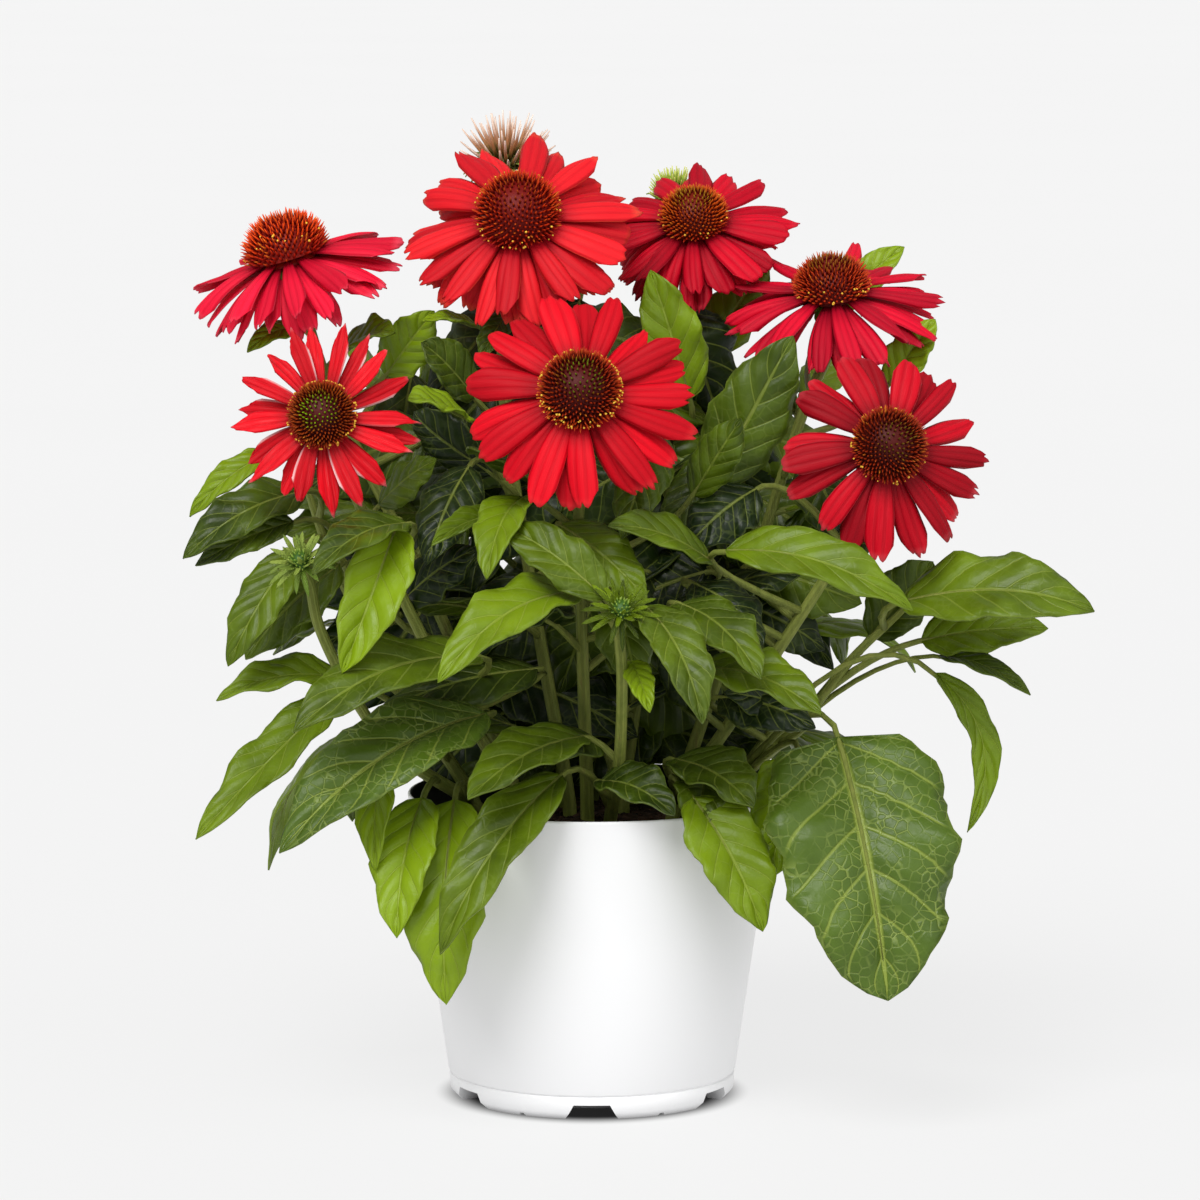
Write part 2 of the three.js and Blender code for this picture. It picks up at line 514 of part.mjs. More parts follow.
// A dome whose staggered lattice is raised into four-sided points, one at every other crossing.
// The rows start at an angle above the dome's foot and lean further up towards its top.
function pointedDome({ radius, height, columns, rows, relief, foot, start }) {
  const points = [new THREE.Vector3(0, 0, 0)];
  const faces = [];
  for (let row = 0; row < rows; row += 1) {
    const rise = row === 0 ? 0 : start + (row / rows) * (Math.PI / 2 - start);
    for (let column = 0; column < columns; column += 1) {
      const around = (2 * Math.PI * column) / columns;
      const high = row > 0 && (row + column) % 2 === 1 ? relief : -0.4;
      const girth = row === 0 ? radius * foot : radius * Math.cos(rise) ** 0.75 + high * Math.cos(rise);
      const level = row === 0 ? 0 : height * Math.sin(rise) + high * Math.sin(rise);
      points.push(new THREE.Vector3(girth * Math.cos(around), girth * Math.sin(around), level));
    }
  }
  const top = points.length;
  points.push(new THREE.Vector3(0, 0, height + relief / 3));
  for (let column = 0; column < columns; column += 1) {
    const next = (column + 1) % columns;
    faces.push([0, 1 + next, 1 + column]);
    for (let row = 0; row + 1 < rows; row += 1) {
      const low = 1 + row * columns;
      const up = low + columns;
      if ((row + column) % 2 === 1) {
        faces.push([low + column, low + next, up + column], [low + next, up + next, up + column]);
      } else {
        faces.push([low + column, up + next, up + column], [low + column, low + next, up + next]);
      }
    }
    const rim = 1 + (rows - 1) * columns;
    faces.push([rim + column, rim + next, top]);
  }
  const geometry = new THREE.BufferGeometry().setFromPoints(points);
  geometry.setIndex(faces.flat());
  return geometry;
}

// Cone: a dome covered in pointed florets
function makeCone(bloom) {
  const dome = pointedDome({ radius: bloom.cone * 0.95, height: bloom.height - 1,
    columns: CONE_COLUMNS, rows: CONE_ROWS, relief: FLORET_RELIEF, foot: 0.9, start: 0 });
  const axis = facing(bloom.turn, 90 - bloom.tilt);
  return solidOf(stand(dome, vector(bloom.base).addScaledVector(axis, GAP), axis));
}

// Young head: long bristles or bracts standing out of a small dome
function makeHead(route, head) {
  const dome = pointedDome(head);
  return solidOf(stand(dome, route.end.clone().addScaledVector(route.axis, 1 + GAP), route.axis));
}

// Heads that haven't opened, at the tops of their stems
const HEADS = [
  { name: "head_left", stem: "stem_head_left", look: BRISTLE_CREAM, radius: 10, height: 10,
    columns: 14, rows: 5, relief: 14, foot: 0.8, start: 0.35 },
  { name: "head_right", stem: "stem_head_right", look: BRISTLE_GREEN, radius: 8, height: 9,
    columns: 12, rows: 5, relief: 6, foot: 0.8, start: 0.2 },
  { name: "bud_left", stem: "stem_bud_left", look: BUD_GREEN, radius: 5.5, height: 6,
    columns: 14, rows: 4, relief: 9, foot: 0.7, start: -0.15 },
  { name: "bud_middle", stem: "stem_bud_middle", look: BUD_GREEN, radius: 5.5, height: 6,
    columns: 14, rows: 4, relief: 10, foot: 0.7, start: -0.15 },
];

// Bends a leaf may take to stay clear: its tip and base move in depth along the line of sight, and the
// blade rolls.
const BENDS = [];
for (const roll of [0, 16, -16]) {
  for (const depth of [0, -7, 7, -14, 14, -22, 22, -30, 30]) {
    BENDS.push({ roll, depth });
  }
}

function isClear(solid, box, others) {
  return others.every((other) => {
    const apart = [0, 1, 2].some((k) => box.min[k] > other.box.max[k] + GAP
      || other.box.min[k] > box.max[k] + GAP);
    return apart || solid.minGap(other.solid, 1) >= GAP;
  });
}

// Point of a stem that a petiole leaves from: below the blade's base by a part of its distance.
function petioleRoot(line, bladeBase) {
  let best = null;
  for (let i = 1; i < line.length - 1; i += 1) {
    for (const share of [0, 0.2, 0.4, 0.6, 0.8]) {
      const spot = line[i].clone().lerp(line[i + 1], share);
      const away = Math.hypot(spot.x - bladeBase.x, spot.y - bladeBase.y);
      const miss = Math.abs(bladeBase.z - spot.z - 0.6 * away) + 0.3 * away;
      if (spot.z > LOWEST_PETIOLE && (!best || miss < best.miss)) {
        best = { spot, miss };
      }
    }
  }
  return best.spot;
}

// A leaf's solid in one of its bends. The base follows the tip's move in depth by a part of it.
function bentLeaf(row, bend, line, index) {
  const [, base, tip, width, arch, [turn, rise], fold, bow = 0] = row;
  const move = new THREE.Vector3(0, bend.depth, -SIGHT_SLOPE * bend.depth);
  const leaf = {
    base: vector(base).addScaledVector(move, 0.6),
    tip: vector(tip).add(move),
    face: facing(turn + bend.roll, rise + bend.roll),
    plain: index >= LEAVES.length,
    width,
    arch,
    fold,
    bow,
  };
  return loft(leafSections(petioleRoot(line, leaf.base), leaf, index));
}

// Tiers of leaves that fill the plant out, all round or only behind: turns they span, steps of turn,
// radius and height of the blade's base and of its tip, width, arch and how steeply they face up.
const TIERS = [
  { from: 95, to: 265, step: 21, base: [84, 168], tip: [150, 104], width: 44, arch: 18, rise: 40 },
  { from: 104, to: 256, step: 21.5, base: [90, 208], tip: [156, 186], width: 38, arch: 14, rise: 55 },
  { from: 96, to: 264, step: 28, base: [92, 262], tip: [150, 256], width: 34, arch: 10, rise: 60 },
  { from: -150, to: 150, step: 75, base: [36, 165], tip: [84, 172], width: 36, arch: 10, rise: 55 },
  { from: -160, to: 160, step: 45, base: [40, 222], tip: [96, 232], width: 34, arch: 10, rise: 50 },
  { from: -168, to: 168, step: 48, base: [44, 282], tip: [88, 304], width: 32, arch: 8, rise: 40 },
];

function tierLeaves() {
  const rows = [];
  const draw = draws(29);
  for (const tier of TIERS) {
    for (let turn = tier.from; turn <= tier.to; turn += tier.step) {
      const a = turn + 6 * draw();
      const b = turn + 12 * draw();
      const [r0, z0] = [tier.base[0] + 6 * draw(), tier.base[1] + 8 * draw()];
      const [r1, z1] = [tier.tip[0] + 12 * draw(), tier.tip[1] + 12 * draw()];
      const base = facing(a, 0).multiplyScalar(r0).setZ(z0);
      const tip = facing(b, 0).multiplyScalar(r1).setZ(z1);
      rows.push([nearestStem(base), base.toArray(), tip.toArray(), tier.width * (1 + 0.15 * draw()),
        tier.arch, [turn + 15 * draw(), tier.rise], 12]);
    }
  }
  return rows;
}

// The stem that passes closest below a point
function nearestStem(spot) {
  let best = null;
  for (const [name, { line }] of routes) {
    const away = petioleRoot(line, spot).distanceTo(spot);
    if (!best || away < best.away) {
      best = { name, away };
    }
  }
  return best.name;
}

const group = new THREE.Group();

function addNode(name, solid, look) {
  const mesh = new THREE.Mesh(geometryOf(solid), new THREE.MeshStandardMaterial(look));
  mesh.name = name;
  group.add(mesh);
}

const pot = makePot();
const soil = makeSoil(STEMS);
addNode("pot", pot, WHITE_PLASTIC);
addNode("soil", soil, SOIL);

const placed = [];
function keep(owner, solid, leaf = false) {
  placed.push({ owner, solid, leaf, box: solid.boundingBox() });
}
keep("pot", pot);
keep("soil", soil);

for (const bloom of BLOOMS) {
  const rays = makeRays(bloom);
  const cone = makeCone(bloom);
  addNode(`rays_${bloom.place}`, rays, RAY_RED);
  addNode(`cone_${bloom.place}`, cone, CONE_BROWN);
  keep(`rays_${bloom.place}`, rays);
  keep(`cone_${bloom.place}`, cone);
}

const routes = new Map(STEMS.map((stem) => [stem.name, stemRoute(stem)]));
const stemSolids = new Map();
for (const [name, route] of routes) {
  const parts = makeStem(route);
  stemSolids.set(name, parts);
  parts.forEach((part) => keep(name, part));
}
for (const head of HEADS) {
  const solid = makeHead(routes.get(head.stem), head);
  addNode(head.name, solid, head.look);
  keep(head.name, solid);
}

// Leaves are placed one by one, clear of every earlier piece. One that can't also be clear of the
// other leaves on its own stem grows together with them, and one with no room at all is left out.
function placeLeaf(row, index) {
  const [owner] = row;
  const { line } = routes.get(owner);
  for (const joined of [false, true]) {
    const others = placed.filter((one) => one.owner !== owner || (one.leaf && !joined));
    for (const bend of BENDS) {
      const solid = bentLeaf(row, bend, line, index);
      if (isClear(solid, solid.boundingBox(), others)) {
        stemSolids.get(owner).push(solid);
        keep(owner, solid, true);
        return;
      }
    }
  }
}

[...LEAVES, ...INNER_LEAVES, ...tierLeaves()].forEach(placeLeaf);

for (const [name, parts] of stemSolids) {
  addNode(name, fuse(parts), LEAF_GREEN);
}

export default group;
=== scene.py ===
# %% [markdown]
# A potted coneflower, dressed for its portrait
#
# The real object is a young perennial sold in a white nursery pot: seven open blooms, two young heads,
# two green buds and a mound of rough, pointed leaves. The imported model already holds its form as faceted
# solids. They could be smoothed where they stand, but a leaf or a petal is better modelled once as a fine
# flat shape and bent to each place, because only that gives it ribs, veins and toothed edges.

# %% Load the frame
import math

import bpy
import numpy as np
from mathutils import Matrix, Vector
from mathutils.kdtree import KDTree


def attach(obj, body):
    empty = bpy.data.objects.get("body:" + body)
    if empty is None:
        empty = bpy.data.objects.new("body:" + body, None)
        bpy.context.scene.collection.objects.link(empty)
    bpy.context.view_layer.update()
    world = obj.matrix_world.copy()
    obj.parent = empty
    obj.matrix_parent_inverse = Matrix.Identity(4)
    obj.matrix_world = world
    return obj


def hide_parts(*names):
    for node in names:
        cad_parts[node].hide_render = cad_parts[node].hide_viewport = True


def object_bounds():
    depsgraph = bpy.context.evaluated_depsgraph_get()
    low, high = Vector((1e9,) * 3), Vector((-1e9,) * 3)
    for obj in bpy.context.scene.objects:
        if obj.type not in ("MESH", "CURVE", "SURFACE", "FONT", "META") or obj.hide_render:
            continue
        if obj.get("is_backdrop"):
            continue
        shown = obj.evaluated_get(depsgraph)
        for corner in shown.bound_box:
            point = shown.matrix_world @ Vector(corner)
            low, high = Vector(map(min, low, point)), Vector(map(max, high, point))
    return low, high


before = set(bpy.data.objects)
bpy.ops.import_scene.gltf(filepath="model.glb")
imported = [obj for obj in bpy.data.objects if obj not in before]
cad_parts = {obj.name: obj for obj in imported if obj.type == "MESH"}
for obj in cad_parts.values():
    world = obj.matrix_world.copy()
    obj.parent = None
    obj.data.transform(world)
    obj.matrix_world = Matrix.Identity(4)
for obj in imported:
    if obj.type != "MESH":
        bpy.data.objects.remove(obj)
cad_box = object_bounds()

MM = 0.001  # the plant's plan is in millimetres, the scene in metres
scene = bpy.context.scene
print("nodes", len(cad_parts), "box", [round(c, 3) for corner in cad_box for c in corner])

# %% [markdown]
# The camera stands where the photographer's did: a good way off, a little above the blooms, looking
# slightly down. A long lens from far away keeps the pot's sides almost parallel, as they are there.

# %% Camera
lens = bpy.data.cameras.new("camera")
lens.sensor_width = 36
lens.lens = 176.4
camera = bpy.data.objects.new("camera", lens)
camera.location = (0.0036, -2.6, 0.567)
camera.rotation_euler = (math.radians(82.46), 0, 0)
scene.collection.objects.link(camera)
scene.camera = camera
print("camera at", tuple(camera.location))

# %% [markdown]
# A studio for white goods is a pale sweep of floor under broad, soft lamps. It could be lit by panels
# close by, but their light fades with distance and changes the colours from pot to bloom. Two far lamps
# don't: a strong one from the upper left models the petals, and a weak one from the right fills the
# shadows with the sky. The floor is one huge plane, so no horizon shows.

# %% Floor, sky and lamps
FLOOR_SIZE = 120
FLOOR_GAP = 0.0002  # under the pot's foot, so that the two surfaces never mix
SKY_STRENGTH = 0.42
LAMPS = [  # name, energy, softness, tilt and turn
    ("key_lamp", 2.55, 34, 40, -22),
    ("fill_lamp", 0.85, 70, 62, 44),
]


def deselect():
    bpy.ops.object.select_all(action="DESELECT")


deselect()
bpy.ops.mesh.primitive_plane_add(size=FLOOR_SIZE, location=(0, 0, -FLOOR_GAP))
floor = bpy.context.object
floor.name = "studio_floor"
floor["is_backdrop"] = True

sky = bpy.data.worlds.new("sky")
scene.world = sky
sky.use_nodes = True
sky_light = sky.node_tree.nodes["Background"].inputs
sky_light["Color"].default_value = (1, 1, 1, 1)
sky_light["Strength"].default_value = SKY_STRENGTH
scene.view_settings.view_transform = "Standard"


def lamp(name, energy, softness, tilt, turn):
    """A far lamp, tilted from overhead towards the front and turned about the upright."""
    light = bpy.data.lights.new(name, "SUN")
    light.energy = energy
    light.angle = math.radians(softness)
    holder = bpy.data.objects.new(name, light)
    holder.rotation_euler = (math.radians(tilt), 0, math.radians(turn))
    scene.collection.objects.link(holder)
    return holder


for row in LAMPS:
    print(lamp(*row).name, row[1:])

# %% [markdown]
# A finish is worked out as sums on patterns: where a vein lies, how far down a petal a point is. Written
# as nodes that is hard to read, so a small class wraps a socket and lets Python's own operators add the
# Math nodes.

# %% Sums on sockets
class Wire:
    """An output socket that can be used in a sum."""

    def __init__(self, finish, socket):
        self.finish = finish
        self.socket = socket

    def calc(self, operation, *others, turned=False):
        values = [self, *others]
        if turned:
            values.reverse()
        return self.finish.add("Math", {"operation": operation}, dict(enumerate(values)))

    def __add__(self, other):
        return self.calc("ADD", other)

    def __sub__(self, other):
        return self.calc("SUBTRACT", other)

    def __rsub__(self, other):
        return self.calc("SUBTRACT", other, turned=True)

    def __mul__(self, other):
        return self.calc("MULTIPLY", other)

    def __pow__(self, other):
        return self.calc("POWER", other)

    def __rpow__(self, other):
        return self.calc("POWER", other, turned=True)

    def __abs__(self):
        return self.calc("ABSOLUTE")

    __radd__ = __add__
    __rmul__ = __mul__

    def step(self, low, high):
        """0 below low, 1 above high and smooth between; the other way round if low is the larger."""
        return self.finish.add("MapRange", {"interpolation_type": "SMOOTHSTEP"},
                               {0: self, 1: low, 2: high, 3: 0.0, 4: 1.0})


# %% [markdown]
# A material has a tree of nodes that ends in one shader. The same few nodes are needed in every finish, so
# a second class holds the tree and has a method for each. One of them adds a node of any type, with its
# settings first and then the values or wires of its sockets.

# %% Finishes
class Finish:
    """A material on a piece, built up from its Principled shader."""

    def __init__(self, name, **constants):
        self.material = bpy.data.materials.new(name)
        self.material.use_nodes = True
        self.tree = self.material.node_tree
        self.shader = self.tree.nodes["Principled BSDF"]
        self.set(**constants)

    def add(self, kind, settings=None, sockets=None, output=0):
        node = self.tree.nodes.new("ShaderNode" + kind)
        for key, value in (settings or {}).items():
            setattr(node, key, value)
        for key, value in (sockets or {}).items():
            self.plug(node.inputs[key], value)
        return Wire(self, node.outputs[output])

    def plug(self, socket, value):
        if isinstance(value, Wire):
            self.tree.links.new(value.socket, socket)
        else:
            socket.default_value = value

    def set(self, **values):
        for key, value in values.items():
            self.plug(self.shader.inputs[key.replace("_", " ")], value)
        return self

    def blend(self, a, b, share):
        """From colour a at a share of 0 to colour b at 1."""
        return self.add("Mix", {"data_type": "RGBA"}, {0: share, 6: a, 7: b}, output=2)

    def parts(self, vector):
        """The three numbers that a vector is made of."""
        first = self.add("SeparateXYZ", sockets={0: vector})
        return [Wire(self, socket) for socket in first.socket.node.outputs]

    def grain(self):
        """What each point of a piece carries: how far along and across it lies, and the piece's tint."""
        return self.parts(self.add("Attribute", {"attribute_name": "grain"}, output=1))

    def place(self):
        """Where a point lies on the piece, in metres."""
        return self.add("TexCoord", output=3)

    def noise(self, scale, detail=2.0, where=None):
        return self.add("TexNoise", sockets={"Vector": where or self.place(), "Scale": scale,
                                             "Detail": detail})

    def cells(self, scale, feature="DISTANCE_TO_EDGE"):
        return self.add("TexVoronoi", {"feature": feature}, {"Vector": self.place(), "Scale": scale})

    def bump(self, height, depth, strength=1.0):
        return self.set(Normal=self.add("Bump", sockets={"Height": height, "Distance": depth,
                                                         "Strength": strength}))


# %% [markdown]
# Colours are easiest to compare with a photograph as the numbers from 0 to 255 that a screen shows. A
# shader counts light itself, of which a screen's numbers are about the root, so they are turned round.

# %% Paint
def paint(red, green, blue):
    """A colour as it is read off a screen, 0 to 255, in the linear values that a shader takes."""
    def linear(c):
        c = c / 255
        return c / 12.92 if c <= 0.04045 else ((c + 0.055) / 1.055) ** 2.4
    return (linear(red), linear(green), linear(blue), 1.0)


print("paint", [round(c, 3) for c in paint(200, 20, 40)])

# %% [markdown]
# A sweep that is lit from all round shows almost no shadow. White paint alone would show the plant's
# shadow too dark, so most of the floor's light is its own glow, and the paint under it is a dark grey.
# Under the pot and right at its foot the glow fails and the paint is nearly black, a painted shadow
# where a real floor gets no light.

# %% Floor finish
FLOOR_GLOW = 0.755
FOOT_SHADOW_EDGE = (0.054, 0.072)
WHITE = (1, 1, 1, 1)
DIM = (0.02, 0.02, 0.02, 1)
sweep = Finish("studio_sweep", Roughness=0.9, Specular_IOR_Level=0.1)
mottle = sweep.noise(1.5)
x, y, z = sweep.parts(sweep.place())
apart = (x * x + y * y) ** 0.5
clear_of_foot_shadow = apart.step(*FOOT_SHADOW_EDGE)
grey = sweep.blend(paint(96, 96, 96), paint(100, 100, 100), mottle)
# Painted shadow: under the pot and round its foot the paint is nearly black and the glow dim.
sweep.set(Base_Color=sweep.blend(paint(20, 20, 20), grey, clear_of_foot_shadow),
          Emission_Color=sweep.blend(DIM, WHITE, clear_of_foot_shadow),
          Emission_Strength=FLOOR_GLOW)
floor.data.materials.append(sweep.material)
print("floor glow", FLOOR_GLOW, "from", FOOT_SHADOW_EDGE, "metres out")

# %% [markdown]
# Every leaf, petal and floret is a simple shape that is bent to a place. Each could be modelled where it
# stands, but two starting shapes are enough: a flat sheet, cut into squares, and a closed tube, extruded
# ring by ring from a disc. Both are modelled once with the usual operators, in the sizes that are needed.

# %% Sheet and tube to start from
def set_aside(piece):
    """Takes the shape off the stage and keeps its mesh, with its points as an array."""
    mesh = piece.data
    bpy.data.objects.remove(piece)
    points = np.empty(len(mesh.vertices) * 3)
    mesh.vertices.foreach_get("co", points)
    return mesh, points.reshape(-1, 3)


def sheet(along, across):
    """A flat sheet, 0 to 1 along X and -1 to 1 along Y."""
    deselect()
    bpy.ops.mesh.primitive_grid_add(x_subdivisions=along, y_subdivisions=across, size=1,
                                    location=(0.5, 0, 0))
    piece = bpy.context.object
    bpy.ops.transform.resize(value=(1, 2, 1))
    bpy.ops.object.transform_apply(location=True, rotation=True, scale=True)
    return set_aside(piece)


def tube(sides, steps):
    """A closed tube of radius 1, 0 to 1 along Z."""
    deselect()
    bpy.ops.mesh.primitive_circle_add(vertices=sides, radius=1, fill_type="NGON")
    piece = bpy.context.object
    bpy.ops.object.mode_set(mode="EDIT")
    bpy.ops.mesh.select_all(action="SELECT")
    for _ in range(steps):
        bpy.ops.mesh.extrude_region_move(TRANSFORM_OT_translate={"value": (0, 0, 1 / steps)})
    bpy.ops.mesh.select_all(action="SELECT")
    bpy.ops.mesh.normals_make_consistent(inside=False)
    bpy.ops.object.mode_set(mode="OBJECT")
    return set_aside(piece)


LEAF_SHEET = sheet(26, 12)
PETAL_SHEET = sheet(14, 10)
BRACT_SHEET = sheet(6, 2)
STEM_TUBE = tube(12, 60)
RIB_TUBE = tube(6, 12)
FLORET_TUBE = tube(5, 3)
STARTS = [LEAF_SHEET, PETAL_SHEET, BRACT_SHEET, STEM_TUBE, RIB_TUBE, FLORET_TUBE]
print("points of the starting shapes", [len(points) for mesh, points in STARTS])

# %% [markdown]
# A copy with its own mesh is moved point by point by a formula. Each point also carries its grain, three
# numbers that a finish can read: how far along and across the shape it lies, and the tint of its leaf or
# petal. The copies that make up a piece are joined, and a sheet then gets its wall with a modifier.

# %% Bent copies, and pieces made of them
def bent_copy(start, places, along, across, tint):
    """A copy of a starting shape with its points at places, in millimetres, and its grain."""
    mesh = start[0].copy()
    mesh.vertices.foreach_set("co", (np.asarray(places) * MM).ravel())
    grain = mesh.attributes.new("grain", "FLOAT_VECTOR", "POINT")
    values = np.stack([along, across, np.full(len(along), tint)], axis=1)
    grain.data.foreach_set("vector", values.ravel())
    piece = bpy.data.objects.new("copy", mesh)
    scene.collection.objects.link(piece)
    return piece


def select_only(*pieces):
    """Selects the pieces and nothing else, the first of them active."""
    deselect()
    for piece in pieces:
        piece.select_set(True)
    bpy.context.view_layer.objects.active = pieces[0]


def join(pieces, name):
    select_only(*pieces)
    if len(pieces) > 1:
        bpy.ops.object.join()
    pieces[0].name = name
    pieces[0].data.name = name
    return pieces[0]


def thicken(piece, thickness):
    """Gives a sheet its thickness, in millimetres, half of it to each side."""
    select_only(piece)
    wall = piece.modifiers.new("wall", "SOLIDIFY")
    wall.thickness = thickness * MM
    wall.offset = 0
    bpy.ops.object.modifier_apply(modifier="wall")
    return piece


def finish_piece(piece, finish, slot, *nodes):
    """Paints a piece, smooths it, hangs it on the root and hides the imported nodes that it stands for."""
    piece.data.materials.clear()
    piece.data.materials.append(finish.material)
    piece.data.shade_smooth()
    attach(piece, "root")
    if nodes:
        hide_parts(*nodes)
    print(piece.name, len(piece.data.polygons), "faces")
    return piece


# %% [markdown]
# The plant's plan is the same as the one its solids follow, in millimetres and degrees. The scene repeats
# it, so that every fine shape lies where its faceted solid does. First the seven open blooms: the base of
# the cone, which way and how far it leans, its size, and the number, size, droop and twist of its rays.

# %% Blooms
BLOOMS = [
    dict(place="left_high", base=(-134.5, 0, 377), turn=-70, tilt=17, cone=19, height=19, rays=19,
         reach=38, width=11.5, first=0, droop=(0, 30), sag=20, twist=14, seed=3),
    dict(place="top", base=(-32.5, -3, 394), turn=-6, tilt=49, cone=19.5, height=19, rays=20,
         reach=41, width=13, first=9, droop=(2, 28), sag=0, twist=12, seed=5),
    dict(place="right_back", base=(46, 48, 389), turn=-8, tilt=37, cone=16, height=15, rays=19,
         reach=34, width=11.5, first=0, droop=(0, 24), sag=8, twist=12, seed=7),
    dict(place="right_high", base=(107, 15, 360), turn=-14, tilt=20, cone=17.5, height=16, rays=18,
         reach=39, width=9.5, first=-6, droop=(-4, 24), sag=18, twist=16, seed=11),
    dict(place="left_front", base=(-116.5, -67.5, 312), turn=-5, tilt=70, cone=15, height=14, rays=20,
         reach=32, width=9.5, first=0, droop=(4, 12), sag=0, twist=30, seed=13),
    dict(place="middle", base=(-5, -87.5, 324), turn=0, tilt=60, cone=18, height=18, rays=21,
         reach=40, width=13, first=0, droop=(8, 24), sag=0, twist=10, seed=17),
    dict(place="right_front", base=(129, -52, 297), turn=12, tilt=70, cone=17, height=17, rays=19,
         reach=36, width=11.5, first=8, droop=(8, 22), sag=0, twist=14, seed=19),
]
print(len(BLOOMS), "blooms with", sum(bloom["rays"] for bloom in BLOOMS), "rays")

# %% [markdown]
# The stems come next: the foot of each in the soil and two points on its way up. The stem of a bloom ends
# under that bloom. The others name their top and how it leans.

# %% Stems
STEMS = {
    "stem_left_high": dict(foot=(-32, 4), way=[(-68, 8, 215), (-116, 8, 315)]),
    "stem_top": dict(foot=(-10, 10), way=[(-26, 14, 220), (-40, 12, 335)]),
    "stem_right_back": dict(foot=(14, 20), way=[(28, 36, 230), (44, 56, 330)]),
    "stem_right_high": dict(foot=(38, 12), way=[(66, 14, 215), (96, 14, 310)]),
    "stem_left_front": dict(foot=(-30, -14), way=[(-70, -30, 201), (-108, -42, 285)]),
    "stem_middle": dict(foot=(-2, -12), way=[(-4, -30, 200), (-6, -58, 290)]),
    "stem_right_front": dict(foot=(36, -10), way=[(74, -22, 190), (118, -34, 265)]),
    "stem_head_left": dict(foot=(-12, 30), way=[(-26, 46, 230), (-36, 62, 340)],
                           top=(-39, 66, 411), turn=20, tilt=8),
    "stem_head_right": dict(foot=(18, 42), way=[(30, 62, 230), (36, 92, 330)],
                            top=(38, 98, 394), turn=0, tilt=5),
    "stem_bud_left": dict(foot=(-48, -12), way=[(-90, -45, 165), (-118, -72, 220)],
                          top=(-125, -86, 250), turn=-20, tilt=45),
    "stem_bud_middle": dict(foot=(8, -34), way=[(12, -66, 160), (13, -98, 205)],
                            top=(12.5, -116, 233), turn=5, tilt=50),
    "shoot_left": dict(foot=(-52, 10), way=[(-92, 14, 190), (-118, 8, 245)],
                       top=(-132, 2, 285), turn=-60, tilt=25),
    "shoot_right": dict(foot=(52, 2), way=[(90, -4, 165), (118, -8, 200)],
                        top=(140, -12, 222), turn=70, tilt=45),
    "shoot_back_left": dict(foot=(-34, 38), way=[(-62, 72, 190), (-80, 92, 250)],
                            top=(-88, 100, 300), turn=-150, tilt=20),
    "shoot_back": dict(foot=(0, 56), way=[(0, 92, 190), (-2, 112, 250)],
                       top=(-4, 122, 296), turn=180, tilt=20),
    "shoot_back_right": dict(foot=(40, 40), way=[(70, 72, 190), (86, 88, 255)],
                             top=(96, 94, 305), turn=150, tilt=20),
}
print(len(STEMS), "stems and shoots")
